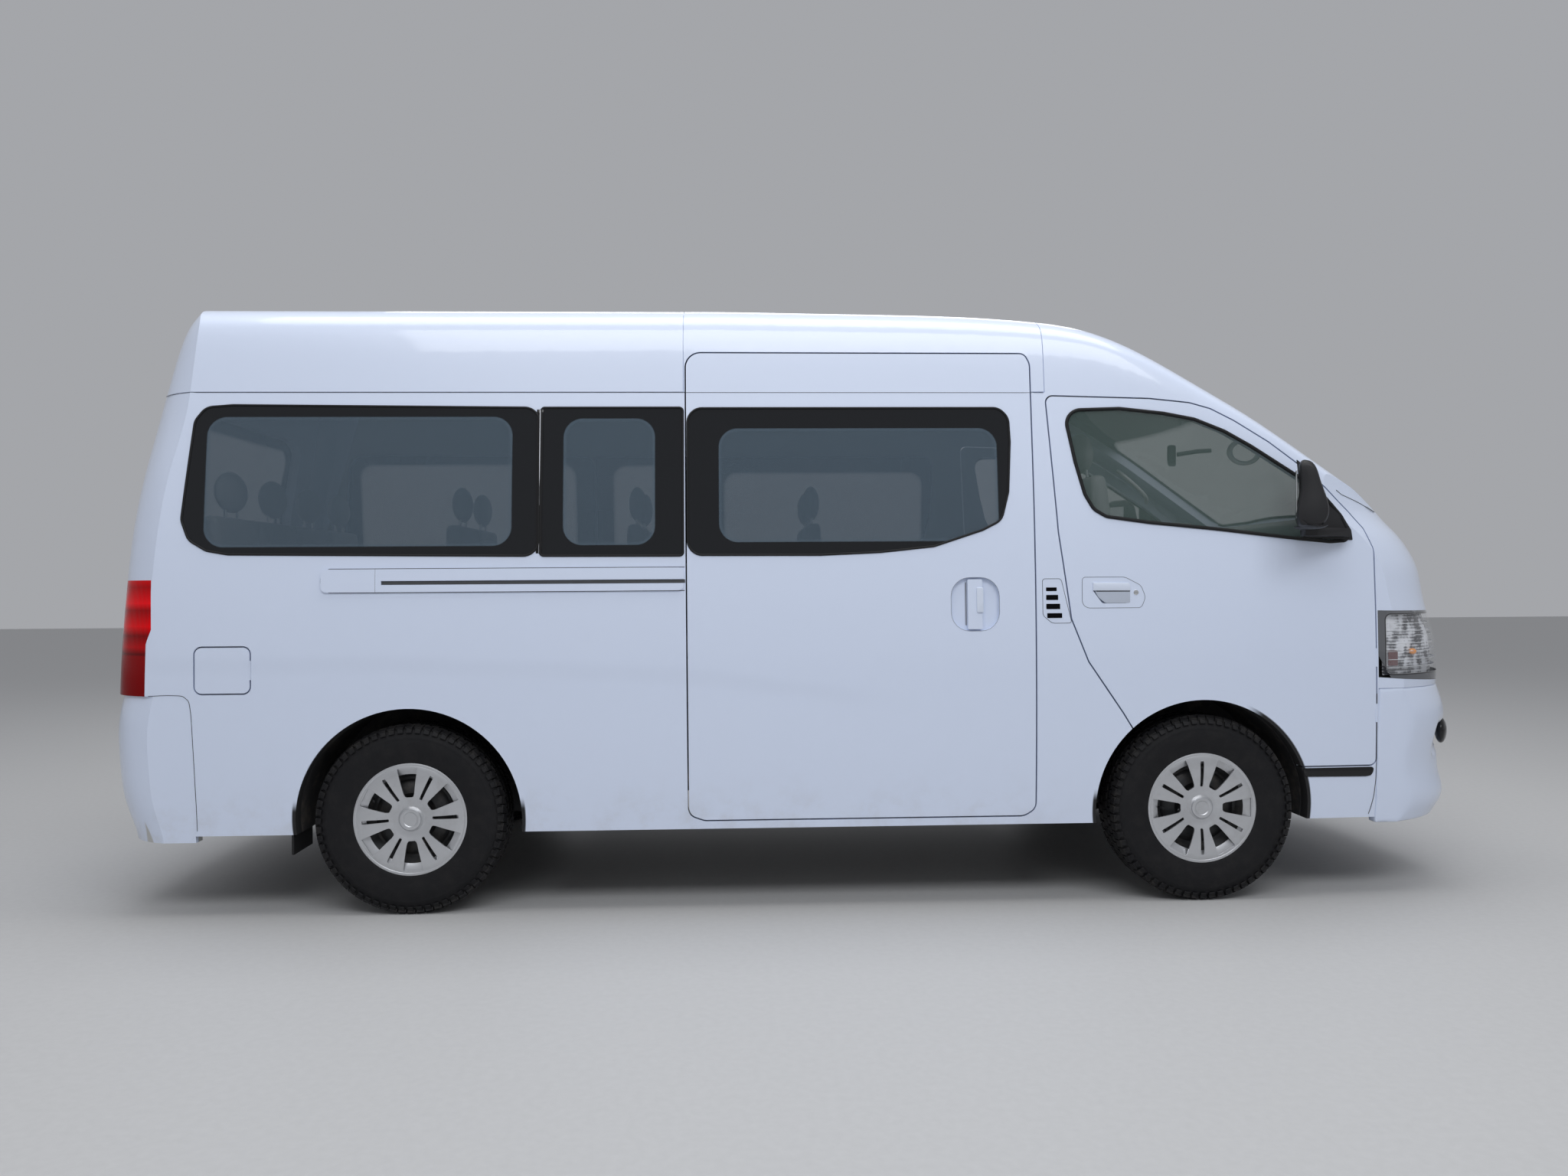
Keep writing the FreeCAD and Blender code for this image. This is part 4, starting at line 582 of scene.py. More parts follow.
class Finishes:
    """Every finish of the vehicle, each made once."""

    def __init__(self) -> None:
        """Makes the materials."""
        quarter = (-2.200, -1.095, 1.345, 1.823)
        centre = (-0.907, -0.571, 1.346, 1.816)
        sliding = (-0.335, 0.705, 1.354, 1.778)
        specs: dict[str, Any] = {
            "paint": Paint(),
            "side_glass": Pane("side_glass", areas=(quarter, centre, sliding), corner=0.07),
            "front_glass": Pane("front_glass", tint=(0.115, 0.165, 0.155), clear=0.34),
            "screen": Pane(
                "screen_glass", tint=(0.20, 0.245, 0.225), clear=0.30, areas=((-0.70, 0.70, 1.38, 1.90),),
                across=1, corner=0.10
            ),
            "gate_glass": Pane("gate_glass", areas=((-0.60, 0.60, 1.36, 1.86),), across=1, corner=0.09),
            "tyre": Tyre(),
            "cloth": Cloth(),
            "red": RedLens(),
            "silver": Plain(
                "silver_trim", (0.56, 0.57, 0.59), 0.34, 0.75, 0.4, 0.00008, 900.0, 0.05, grime=0.12
            ),
            "steel": Plain("black_steel", (0.045, 0.045, 0.048), 0.5, 0.3, 0.0, 0.0002, 300.0, grime=0.5),
            "rim": Plain("rim_steel", (0.035, 0.036, 0.038), 0.5, 0.5, 0.1, 0.0001, 500.0, grime=0.25),
            "iron": Plain("cast_iron", (0.13, 0.125, 0.12), 0.7, 0.7, 0.0, 0.0006, 220.0, grime=0.5),
            "exhaust": Plain("exhaust_steel", (0.30, 0.27, 0.24), 0.5, 0.9, 0.0, 0.0002, 160.0, grime=0.6),
            "rubber": Plain(
                "black_rubber", (0.014, 0.014, 0.015), 0.62, grain=0.0001, grain_scale=700.0, shine=0.25
            ),
            "plastic": Plain(
                "black_plastic", (0.022, 0.022, 0.024), 0.46, grain=0.00018, grain_scale=900.0, shine=0.28
            ),
            "gloss": Plain("black_gloss", (0.009, 0.009, 0.010), 0.14, coat=0.1, shine=0.35),
            "dash": Plain("dark_trim", (0.10, 0.10, 0.105), 0.62, grain=0.0002, grain_scale=800.0),
            "floor": Plain(
                "floor_sheet", (0.030, 0.030, 0.032), 0.8, grain=0.0003, grain_scale=260.0, grime=0.4
            ),
            "chrome": Plain("bright_metal", (0.78, 0.79, 0.80), 0.10, 1.0, shade=0.03),
            # Dark grey of the lamp trays, also a strip of painted shade in the rail's slot.
            "housing": Plain("lamp_housing", (0.085, 0.088, 0.092), 0.35, 0.4, 0.2),
            "lens": LampLens(),
            "amber": Plain("amber_bulb", (0.85, 0.30, 0.03), 0.2, coat=0.6),
            "white": Plain("painted_lever", (0.70, 0.765, 0.89), 0.30, coat=0.5, shade=0.02),
            "pale": Plain("pale_trim", (0.66, 0.67, 0.68), 0.5, grain=0.0001, grain_scale=800.0, shade=0.05),
            "bead": Plain("white_bead", (0.80, 0.82, 0.86), 0.4, shade=0.02),
            # Shut lines, and also the painted shade strips under the door paddles.
            "edge": Plain("shut_line", (0.065, 0.07, 0.08), 0.5),
            # A soft painted shade line, used round the sliding door's dish and beside its bar.
            "crease": Plain("soft_line", (0.24, 0.26, 0.30), 0.5),
            # Dark sheets of painted shade in the vent's slots.
            "void": Plain("dark_opening", (0.004, 0.004, 0.005), 0.9, shine=0.05),
            # The handle bowl: body paint made darker as painted shade in the recess.
            "bowl": Plain("handle_bowl", (0.52, 0.57, 0.67), 0.35, coat=0.4, shade=0.02),
            # The headlamp reflector, with painted highlights and painted shade in patches.
            "reflector": PaintedGlintReflector(),
            "chamber": Plain("clear_chamber", (0.80, 0.82, 0.85), 0.12, 0.2, coat=0.5),
            "marker": Plain(
                "dark_marker", (0.10, 0.012, 0.014), 0.2, coat=0.6, grain=0.0008, grain_scale=160.0
            ),
        }
        self.made = {name: spec.make() for name, spec in specs.items()}

    def __getitem__(self, name: str) -> bpy.types.Material:
        """The material of a finish."""
        return self.made[name]


FINISHES: Finishes


class Bench:
    """Modelling steps on one object at a time."""

    @staticmethod
    def clear() -> None:
        """Leaves edit mode and selects nothing."""
        active = bpy.context.view_layer.objects.active
        if active is not None and active.mode != "OBJECT":
            bpy.ops.object.mode_set(mode="OBJECT")
        bpy.ops.object.select_all(action="DESELECT")

    @staticmethod
    def pick(*pieces: Piece) -> None:
        """Selects pieces, the first one active."""
        Bench.clear()
        for piece in pieces:
            piece.select_set(True)
        bpy.context.view_layer.objects.active = pieces[0]

    @staticmethod
    def named(name: str, finish: str | None = None) -> Piece:
        """Names the piece just made and gives it a finish."""
        piece = bpy.context.view_layer.objects.active
        piece.name = name
        piece.data.name = name
        if finish:
            piece.data.materials.clear()
            piece.data.materials.append(FINISHES[finish])
        return piece

    @staticmethod
    def edit(piece: Piece) -> Piece:
        """Opens a piece in edit mode with everything selected."""
        Bench.pick(piece)
        bpy.ops.object.mode_set(mode="EDIT")
        bpy.ops.mesh.select_all(action="SELECT")
        return piece

    @staticmethod
    def done() -> None:
        """Goes back to object mode."""
        bpy.ops.object.mode_set(mode="OBJECT")

    @staticmethod
    def modify(piece: Piece, kind: str, **settings: Any) -> Piece:
        """Adds a modifier, sets it and applies it.

        Args:
            piece: The piece.
            kind: The modifier's type.
            settings: Its properties.

        Returns:
            The piece.
        """
        Bench.pick(piece)
        modifier = piece.modifiers.new(kind.lower(), kind)
        for name, value in settings.items():
            setattr(modifier, name, value)
        bpy.ops.object.modifier_apply(modifier=modifier.name)
        return piece

    @staticmethod
    def hang(piece: Piece, body: str, slot: str, *nodes: str) -> Piece:
        """Hangs a piece on its body and hides the nodes that it stands for."""
        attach(piece, body)
        for node in nodes:
            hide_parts(node)
        return piece

    @staticmethod
    def ball(name: str, at: Point, sizes: Point, finish: str, segments: int = 40, rings: int = 20) -> Piece:
        """A ball or an egg of three half sizes."""
        Bench.clear()
        bpy.ops.mesh.primitive_uv_sphere_add(
            segments=segments, ring_count=rings, radius=1.0, location=at, scale=sizes
        )
        piece = Bench.settle(Bench.named(name, finish))
        bpy.ops.object.shade_smooth()
        return piece

    @staticmethod
    def rod(
        name: str, at: Point, radius: float, length: float, finish: str, sides: int, tilt: float = 0.0
    ) -> Piece:
        """A short round bar, upright or tilted about X."""
        Bench.clear()
        bpy.ops.mesh.primitive_cylinder_add(
            vertices=sides, radius=radius, depth=length, location=at, rotation=(tilt, 0.0, 0.0)
        )
        return Bench.settle(Bench.named(name, finish))

    @staticmethod
    def settle(piece: Piece) -> Piece:
        """Puts a piece's place, turn and scale into its mesh."""
        Bench.pick(piece)
        bpy.ops.object.transform_apply(location=True, rotation=True, scale=True)
        return piece

    @staticmethod
    def slab(name: str, centre: Point, size: Point, finish: str, soft: float = 0.0, cuts: int = 3) -> Piece:
        """A block with softened edges.

        Args:
            name: The piece's name.
            centre: Its middle.
            size: Its three sizes.
            finish: Its finish.
            soft: The width of its bevels.
            cuts: How many faces each bevel has.

        Returns:
            The block.
        """
        Bench.clear()
        bpy.ops.mesh.primitive_cube_add(size=1.0, location=centre, scale=size)
        piece = Bench.settle(Bench.named(name, finish))
        if soft:
            Bench.bevel(piece, soft, cuts)
        return piece

    @staticmethod
    def bevel(piece: Piece, width: float, cuts: int = 3, angle: float = 30.0) -> Piece:
        """Rounds the sharp edges of a piece and smooths its faces."""
        limit = math.radians(angle)
        Bench.modify(piece, "BEVEL", width=width, segments=cuts, limit_method="ANGLE", angle_limit=limit)
        bpy.ops.object.shade_smooth_by_angle(angle=math.radians(40))
        return piece

    @staticmethod
    def cut(piece: Piece, tools: Iterable[Piece], operation: str = "DIFFERENCE") -> Piece:
        """Cuts tools out of a piece, or joins them to it, and removes them."""
        for tool in tools:
            Bench.modify(piece, "BOOLEAN", operation=operation, solver="EXACT", object=tool)
            bpy.data.objects.remove(tool)
        return piece

    @staticmethod
    def merge(name: str, pieces: Sequence[Piece]) -> Piece:
        """Joins pieces into one object."""
        Bench.pick(*pieces)
        if len(pieces) > 1:
            bpy.ops.object.join()
        return Bench.named(name)

    @staticmethod
    def trace(name: str, points: Sequence[Point], closed: bool = False) -> Piece:
        """A line of edges through points, pulled out one point at a time.

        Args:
            name: The piece's name.
            points: The points in order.
            closed: Whether the last joins the first.

        Returns:
            The piece, left in edit mode with everything selected.
        """
        Bench.clear()
        bpy.ops.mesh.primitive_plane_add(size=0.01, location=(0, 0, 0))
        piece = Bench.named(name)
        bpy.ops.object.mode_set(mode="EDIT")
        bpy.ops.mesh.select_mode(type="VERT")
        bpy.ops.mesh.select_all(action="SELECT")
        bpy.ops.mesh.merge(type="CENTER")
        bpy.ops.transform.translate(value=Vector(points[0]))
        for before, after in zip(points, points[1:]):
            step = Vector(after) - Vector(before)
            bpy.ops.mesh.extrude_vertices_move(TRANSFORM_OT_translate={"value": step})
        bpy.ops.mesh.select_all(action="SELECT")
        if closed:
            bpy.ops.mesh.edge_face_add()
        return piece

    @staticmethod
    def turn(
        name: str, profile: Sequence[Pair], centre: Point, finish: str, steps: int = 72, shut: bool = True
    ) -> Piece:
        """A body turned about an axis along Y.

        Args:
            name: The piece's name.
            profile: Pairs of offset along Y and radius.
            centre: The point of the axis that the offsets are from.
            finish: Its finish.
            steps: How many steps make the turn.
            shut: Whether the profile closes on itself.

        Returns:
            The turned piece.
        """
        middle = Vector(centre)
        points = [middle + Vector((0.0, y, r)) for y, r in profile]
        if shut:
            points.append(points[0])
        piece = Bench.trace(name, points)
        bpy.ops.mesh.spin(steps=steps, angle=FULL_TURN, center=middle, axis=ALONG_Y)
        bpy.ops.mesh.select_all(action="SELECT")
        bpy.ops.mesh.remove_doubles(threshold=1e-5)
        bpy.ops.mesh.normals_make_consistent(inside=False)
        Bench.done()
        piece.data.materials.clear()
        piece.data.materials.append(FINISHES[finish])
        Bench.pick(piece)
        bpy.ops.object.shade_smooth_by_angle(angle=math.radians(35))
        return piece

    @staticmethod
    def sheet(name: str, points: Sequence[Point], push: Point, finish: str) -> Piece:
        """An outline filled and pushed along a direction into a closed body."""
        piece = Bench.trace(name, points, closed=True)
        bpy.ops.mesh.extrude_region_move(TRANSFORM_OT_translate={"value": Vector(push)})
        bpy.ops.mesh.select_all(action="SELECT")
        bpy.ops.mesh.normals_make_consistent(inside=False)
        Bench.done()
        piece.data.materials.clear()
        piece.data.materials.append(FINISHES[finish])
        return piece

    @staticmethod
    def tube(name: str, points: Sequence[Point], radius: float, finish: str, closed: bool = False) -> Piece:
        """A round bar along points, made from a traced line."""
        piece = Bench.trace(name, points, closed=False)
        if closed:
            piece_mesh = bmesh.from_edit_mesh(piece.data)
            piece_mesh.verts.ensure_lookup_table()
            piece_mesh.edges.new((piece_mesh.verts[0], piece_mesh.verts[-1]))
            bmesh.update_edit_mesh(piece.data)
        Bench.done()
        return Bench.round_out(piece, radius, finish)

    @staticmethod
    def round_out(piece: Piece, radius: float, finish: str, sides: int = 2) -> Piece:
        """Turns a piece of bare edges into a round bar."""
        Bench.pick(piece)
        bpy.ops.object.convert(target="CURVE")
        piece.data.bevel_depth = radius
        piece.data.bevel_resolution = sides
        piece.data.use_fill_caps = True
        bpy.ops.object.convert(target="MESH")
        piece.data.materials.clear()
        piece.data.materials.append(FINISHES[finish])
        bpy.ops.object.shade_smooth()
        return piece

    @staticmethod
    def copy_node(node: str, name: str) -> Piece:
        """A merged copy of a CAD node to model from."""
        source = bpy.data.objects[node]
        piece = bpy.data.objects.new(name, source.data.copy())
        bpy.context.scene.collection.objects.link(piece)
        Bench.edit(piece)
        bpy.ops.mesh.remove_doubles(threshold=LOOSE)
        Bench.done()
        return piece


@dataclass
class Wheel:
    """One wheel: a tyre with its tread, a steel rim and a silver cover with twelve spokes."""

    name: str
    end: int
    side: int
    slot_degrees: float = 3.0
    tyre_radius: float = 0.3465
    tread_depth: float = 0.0065
    half_width: float = 0.0975
    cover_radius: float = 0.208
    pitches: int = 64
    block_rows: tuple[tuple[float, ...], ...] = (
        (-0.0790, 0.0270, -0.0028, 0.84, -13.0), (-0.0440, 0.0270, 0.0, 0.80, 8.0),
        (0.0, 0.0420, 0.0, 0.88, -10.0), (0.0440, 0.0270, 0.0, 0.80, 8.0),
        (0.0790, 0.0270, -0.0028, 0.84, -13.0),
    )
    block_root: float = 0.006
    shoulder: float = 0.06
    shoulder_degrees: float = 19.0
    lug_degrees: float = 62.0
    centre: Vector = field(init=False)

    def __post_init__(self) -> None:
        """Works out the middle of the wheel."""
        self.centre = Vector((self.end * BODY.axle, self.side * BODY.track, BODY.hub))

    def off(self, y: float) -> float:
        """An offset along Y that counts outward from the wheel's middle."""
        return y * self.side

    def ringed(self, name: str, profile: Sequence[Pair], finish: str, steps: int = 96) -> Piece:
        """A turned piece whose offsets count outward."""
        return Bench.turn(name, [(self.off(y), r) for y, r in profile], self.centre, finish, steps)

    def tyre(self) -> Piece:
        """The tyre with ribs on its walls and blocks round its tread."""
        base = self.tyre_radius - self.tread_depth
        outer = [
            (0.080, 0.192), (0.086, 0.205), (0.0895, 0.214), (0.0905, 0.222), (0.0935, 0.236),
            (0.0965, 0.256), (self.half_width, 0.270), (0.0968, 0.288), (0.0952, 0.296), (0.0958, 0.299),
            (0.0945, 0.302), (0.0915, 0.316), (0.0865, 0.3285), (0.079, 0.3350), (0.066, base - 0.0012),
            (0.045, base), (0.0, base),
        ]
        profile = outer + [(-y, r) for y, r in reversed(outer[:-1])] + [(-0.06, 0.194), (0.06, 0.194)]
        carcass = self.ringed(f"{self.name}_carcass", profile, "tyre", 128)
        return Bench.merge(f"tyre_tread_{self.name}", [carcass, self.tread_blocks()])

    def lump(self, name: str, middle: Vector, size: Point, turns: Sequence[tuple[str, float]]) -> Piece:
        """One block of tread, turned about its middle.

        Args:
            name: What it is.
            middle: Its middle.
            size: Its three sizes.
            turns: Pairs of an axis and an angle.

        Returns:
            The block.
        """
        block = Bench.edit(Bench.slab(f"{self.name}_{name}", middle, size, "tyre"))
        for axis, angle in turns:
            bpy.ops.transform.rotate(value=angle, orient_axis=axis, center_override=middle)
        Bench.done()
        return block

    def tread_blocks(self) -> Piece:
        """One pitch of tread blocks, repeated round the tyre."""
        pitch = FULL_TURN * self.tyre_radius / self.pitches
        height = self.tread_depth + self.block_root
        pieces = []
        for i, (y, width, drop, fill, lean) in enumerate(self.block_rows):
            z = self.tyre_radius - height / 2 + drop
            middle = self.centre + Vector((pitch * 0.5 * (i % 2), y, z))
            turns = [("Z", math.radians(lean if y >= 0 else -lean))]
            if abs(y) > self.shoulder:
                turns.append(("X", math.copysign(math.radians(self.shoulder_degrees), y)))
            pieces.append(self.lump(f"block_{i}", middle, (pitch * fill, width, height), turns))
        for sign in (-1, 1):
            middle = self.centre + Vector((0.0, sign * 0.0925, self.tyre_radius - 0.0200))
            turns = [("X", sign * math.radians(self.lug_degrees))]
            pieces.append(self.lump(f"lug_{sign}", middle, (pitch * 0.62, 0.020, 0.0055), turns))
        blocks = Bench.merge(f"{self.name}_blocks", pieces)
        Bench.edit(Bench.bevel(blocks, 0.0012, 1))
        step = FULL_TURN * (self.pitches - 1) / self.pitches
        bpy.ops.mesh.spin(steps=self.pitches - 1, dupli=True, angle=step, center=self.centre, axis=ALONG_Y)
        bpy.ops.mesh.select_all(action="SELECT")
        bpy.ops.mesh.normals_make_consistent(inside=False)
        Bench.done()
        return blocks

    def wedge(self, name: str, degrees: float, outline: Sequence[Pair]) -> Piece:
        """A cutter through the cover, from an outline of radius and half width about a ray."""
        ray = math.radians(degrees)
        out = Vector((math.cos(ray), 0.0, math.sin(ray)))
        aside = Vector((-math.sin(ray), 0.0, math.cos(ray)))
        corners = list(outline) + [(r, -w) for r, w in reversed(outline)]
        start = self.centre + Vector((0.0, self.off(0.02), 0.0))
        points = [start + out * r + aside * w for r, w in corners]
        return Bench.sheet(name, points, (0.0, self.off(0.12), 0.0), "silver")

    def cover(self) -> Piece:
        """The silver cover: a shallow dish cut by six windows and six slots."""
        radius = self.cover_radius
        face = [
            (0.0850, 0.0), (0.0850, 0.024), (0.0870, 0.026), (0.0885, 0.032), (0.0870, 0.038),
            (0.0800, 0.0395), (0.0740, 0.046), (0.0735, 0.056), (0.0780, 0.070), (0.0835, 0.090),
            (0.0880, 0.120), (0.0895, 0.150), (0.0888, 0.180), (0.0868, 0.194), (0.0862, 0.1955),
            (0.0875, 0.1975), (0.0878, 0.203), (0.0850, radius), (0.0790, radius), (0.0790, 0.2035),
            (0.0810, 0.196), (0.0820, 0.178), (0.0825, 0.150), (0.0805, 0.118), (0.0755, 0.088),
            (0.0700, 0.068), (0.0660, 0.050), (0.0660, 0.0),
        ]
        disc = self.ringed(f"{self.name}_disc", face, "silver", 144)
        window = ((0.080, 0.0105), (0.0835, 0.0155), (0.092, 0.0190), (0.180, 0.0360), (0.1865, 0.0350))
        slot = ((0.079, 0.0035), (0.082, 0.0052), (0.168, 0.0070), (0.175, 0.0060))
        tools = []
        for i in range(6):
            base = self.slot_degrees + 60.0 * i
            tools.append(self.wedge(f"{self.name}_slot_{i}", base, slot))
            tools.append(self.wedge(f"{self.name}_window_{i}", base + 30.0, window))
        Bench.cut(disc, [Bench.merge(f"{self.name}_tools", tools)])
        Bench.bevel(disc, 0.0016, 2, 50.0)
        step = [(0.0800, 0.1960), (0.0800, 0.1900), (0.0670, 0.1640), (0.0640, 0.1640), (0.0760, 0.1960)]
        ledge = self.ringed(f"{self.name}_ledge", step, "silver")
        return Bench.merge(f"wheel_cover_{self.name}", [disc, ledge])

    def rim(self) -> Piece:
        """The steel rim, its dished disc behind the cover and six nuts."""
        profile = [
            (0.0760, 0.2030), (0.0790, 0.2000), (0.0760, 0.1915), (0.0520, 0.1900), (0.0380, 0.1650),
            (-0.0250, 0.1650), (-0.0500, 0.1905), (-0.0740, 0.1905), (-0.0760, 0.2030), (-0.0800, 0.2000),
            (-0.0790, 0.1860), (-0.0520, 0.1850), (-0.0280, 0.1600), (0.0300, 0.1600), (0.0260, 0.1400),
            (0.0420, 0.1180), (0.0440, 0.0900), (0.0300, 0.0720), (0.0290, 0.0), (0.0200, 0.0),
            (0.0200, 0.0700), (0.0360, 0.0920), (0.0340, 0.1160), (0.0180, 0.1380),
        ]
        rim = self.ringed(f"{self.name}_rim", profile, "rim", 72)
        nuts = []
        for i in range(6):
            ray = math.radians(60 * i + 15)
            at = self.centre + Vector((math.cos(ray) * 0.070, self.off(0.034), math.sin(ray) * 0.070))
            nut = Bench.rod(f"{self.name}_nut_{i}", at, 0.0115, 0.026, "chrome", 6, math.pi / 2)
            nuts.append(Bench.bevel(nut, 0.0015, 2))
        return Bench.merge(f"wheel_rim_{self.name}", [rim, *nuts])

    def valve(self) -> Piece:
        """The tyre valve that shows in one window of the cover."""
        ray = math.radians(self.slot_degrees + 150.0)
        out = Vector((math.cos(ray), 0.0, math.sin(ray)))
        base = self.centre + out * 0.158
        bends = ((0.050, 0.0), (0.066, 0.004), (0.082, 0.010))
        points = [base + Vector((0.0, self.off(y), 0.0)) - out * inward for y, inward in bends]
        return Bench.tube(f"tyre_valve_{self.name}", points, 0.0042, "rubber")

    def build(self) -> None:
        """Builds the wheel and hangs it on its body."""
        body = f"wheel_{self.name}"
        tyre, cover, rim, valve = self.tyre(), self.cover(), self.rim(), self.valve()
        Bench.hang(tyre, body, "tyre", f"tyre_{self.name}")
        Bench.hang(cover, body, "wheel_silver", f"wheel_{self.name}")
        Bench.hang(rim, body, "black_steel", f"wheel_{self.name}")
        Bench.hang(valve, body, "black_plastic")
        log.info("wheel %s: tyre %d faces", self.name, len(tyre.data.polygons))


@dataclass
class Seal:
    """A rubber strip round the outer edge of a pane."""

    node: str
    body: str
    outward: Outward
    radius: float = 0.0045

    def build(self) -> None:
        """Traces the outer edge of the pane and makes a round strip along it."""
        name = f"{self.node}_seal"
        piece = Bench.copy_node(self.node, name)
        out = Vector(self.outward.value).normalized()
        mesh = bmesh.new()
        mesh.from_mesh(piece.data)
        keep = set()
        for edge in mesh.edges:
            if len(edge.link_faces) != 2:
                continue
            facing = [face.normal.dot(out) for face in edge.link_faces]
            if max(facing) > 0.6 and min(facing) < 0.35:
                keep.add(edge)
        bmesh.ops.delete(mesh, geom=[e for e in mesh.edges if e not in keep], context="EDGES_FACES")
        bmesh.ops.delete(mesh, geom=list(mesh.faces), context="FACES_ONLY")
        loose = [v for v in mesh.verts if not v.link_edges]
        bmesh.ops.delete(mesh, geom=loose, context="VERTS")
        mesh.to_mesh(piece.data)
        mesh.free()
        Bench.round_out(piece, self.radius, "rubber", 1)
        Bench.hang(piece, self.body, "black_plastic")
        log.info("seal %s: %d faces", name, len(piece.data.polygons))


class Skin:
    """Thin pieces that lie on the curve of the body's sides."""

    TREES: dict[str, BVHTree] = {}
    PANELS = (
        "side_panel_{side}",
        "front_fender_{side}",
        "front_bumper",
        "rear_bumper",
        "roof_panel",
        "tail_lamps",
        "sliding_door",
    )

    @staticmethod
    def point(x: float, z: float, side: int, lift: float = 0.0) -> Vector:
        """The point of the skin at a station and a height, lifted off it."""
        return Vector((x, side * (BODY.side(x, z) + lift), z))

    @staticmethod
    def tree(node: str) -> BVHTree:
        """The search tree of a CAD panel's faces, built once."""
        if node not in Skin.TREES:
            mesh = bpy.data.objects[node].data
            points = [vertex.co.copy() for vertex in mesh.vertices]
            Skin.TREES[node] = BVHTree.FromPolygons(points, [tuple(face.vertices) for face in mesh.polygons])
        return Skin.TREES[node]

    @staticmethod
    def probe(x: float, z: float, side: int) -> float | None:
        """How far out the CAD's panels reach at a station and a height, or None off them."""
        best = None
        for node in Skin.PANELS:
            tree = Skin.tree(node.format(side="right" if side == RIGHT else "left"))
            place, _, _, _ = tree.ray_cast(Vector((x, side * 1.5, z)), Vector((0.0, -side, 0.0)))
            if place is not None and (best is None or abs(place.y) > best):
                best = abs(place.y)
        return best

    @staticmethod
    def surface(x: float, z: float, side: int, lift: float) -> Vector:
        """The point of the panels themselves near a station and a height, gaps bridged."""
        near = 0.005
        shifts = ((0, 0), (near, 0), (-near, 0), (0, near), (0, -near))
        found = [Skin.probe(x + dx, z + dz, side) for dx, dz in shifts]
        reached = [y for y in found if y is not None and y > 0.3]
        if not reached:
            return Skin.point(x, z, side, lift)
        if found[0] is not None and max(reached) - found[0] < 0.004:
            return Vector((x, side * (found[0] + lift), z))
        return Vector((x, side * (max(reached) - 0.0008 + lift), z))

    @staticmethod
    def outline(name: str, points: Sequence[Pair], corner: float, steps: int = 6) -> Piece:
        """A flat outline in the middle plane with rounded corners, left in edit mode.

        Args:
            name: The piece's name.
            points: Pairs of station and height.
            corner: The radius of the corners.
            steps: How many edges round each corner.

        Returns:
            The piece.
        """
        piece = Bench.trace(name, [(x, 0.0, z) for x, z in points], closed=True)
        bpy.ops.mesh.select_all(action="SELECT")
        if corner:
            bpy.ops.mesh.bevel(offset=corner, offset_type="OFFSET", segments=steps, affect="VERTICES")
        return piece

    @staticmethod
    def lay(piece: Piece, side: int, lift: float) -> None:
        """Moves the points of a flat piece sideways onto the skin."""
        for vertex in piece.data.vertices:
            vertex.co = Skin.point(vertex.co.x, vertex.co.z, side, lift)

    @staticmethod
    def patch(
        name: str,
        points: Sequence[Pair],
        side: int,
        finish: str,
        lift: float = 0.001,
        thick: float = 0.002,
        corner: float = 0.0,
        cell: float = 0.04,
    ) -> Piece:
        """A plate of even thickness on the skin.

        Args:
            name: The piece's name.
            points: Pairs of station and height round it.
            side: The side of the vehicle.
            finish: Its finish.
            lift: How far its middle stands off the skin.
            thick: Its thickness.
            corner: The radius of its corners.
            cell: How far apart its inner edges are.

        Returns:
            The plate.
        """
        piece = Skin.outline(name, points, corner)
        for axis in (0, 2):
            low = min(point[axis // 2] for point in points)
            high = max(point[axis // 2] for point in points)
            normal = [0.0, 0.0, 0.0]
            normal[axis] = 1.0
            for i in range(1, math.ceil((high - low) / cell)):
                at = [0.0, 0.0, 0.0]
                at[axis] = low + cell * i
                bpy.ops.mesh.select_all(action="SELECT")
                bpy.ops.mesh.bisect(plane_co=at, plane_no=normal)
        Bench.done()
        Skin.lay(piece, side, lift)
        Bench.named(name, finish)
        Bench.modify(piece, "SOLIDIFY", thickness=thick, offset=0.0)
        Bench.bevel(piece, min(thick * 0.3, 0.0012), 2, 50.0)
        return piece

    @staticmethod
    def seam(
        name: str,
        points: Sequence[Pair],
        side: int,
        radius: float = 0.0012,
        finish: str = "edge",
        cuts: int = 7,
        rounds: int = 1,
    ) -> Piece:
        """A shut line that follows the panels wherever they bend."""
        piece = Bench.trace(name, [(x, 0.0, z) for x, z in points])
        bpy.ops.mesh.select_all(action="SELECT")
        bpy.ops.mesh.subdivide(number_cuts=cuts)
        for _ in range(rounds):
            bpy.ops.mesh.vertices_smooth(factor=0.5, repeat=4)
        Bench.done()
        for vertex in piece.data.vertices:
            vertex.co = Skin.surface(vertex.co.x, vertex.co.z, side, 0.0001)
        return Bench.round_out(piece, radius, finish, 1)

    @staticmethod
    def line(
        name: str,
        points: Sequence[Pair],
        side: int,
        radius: float = 0.0011,
        finish: str = "gloss",
        corner: float = 0.0,
        closed: bool = True,
    ) -> Piece:
        """A fine round line on the skin, such as a shut line or the edge of a dish."""
        if closed:
            piece = Skin.outline(name, points, corner)
            bpy.ops.mesh.select_all(action="SELECT")
            bpy.ops.mesh.delete(type="ONLY_FACE")
        else:
            piece = Bench.trace(name, [(x, 0.0, z) for x, z in points])
        bpy.ops.mesh.select_all(action="SELECT")
        bpy.ops.mesh.subdivide(number_cuts=2)
        Bench.done()
        Skin.lay(piece, side, 0.0002)
        return Bench.round_out(piece, radius, finish, 1)


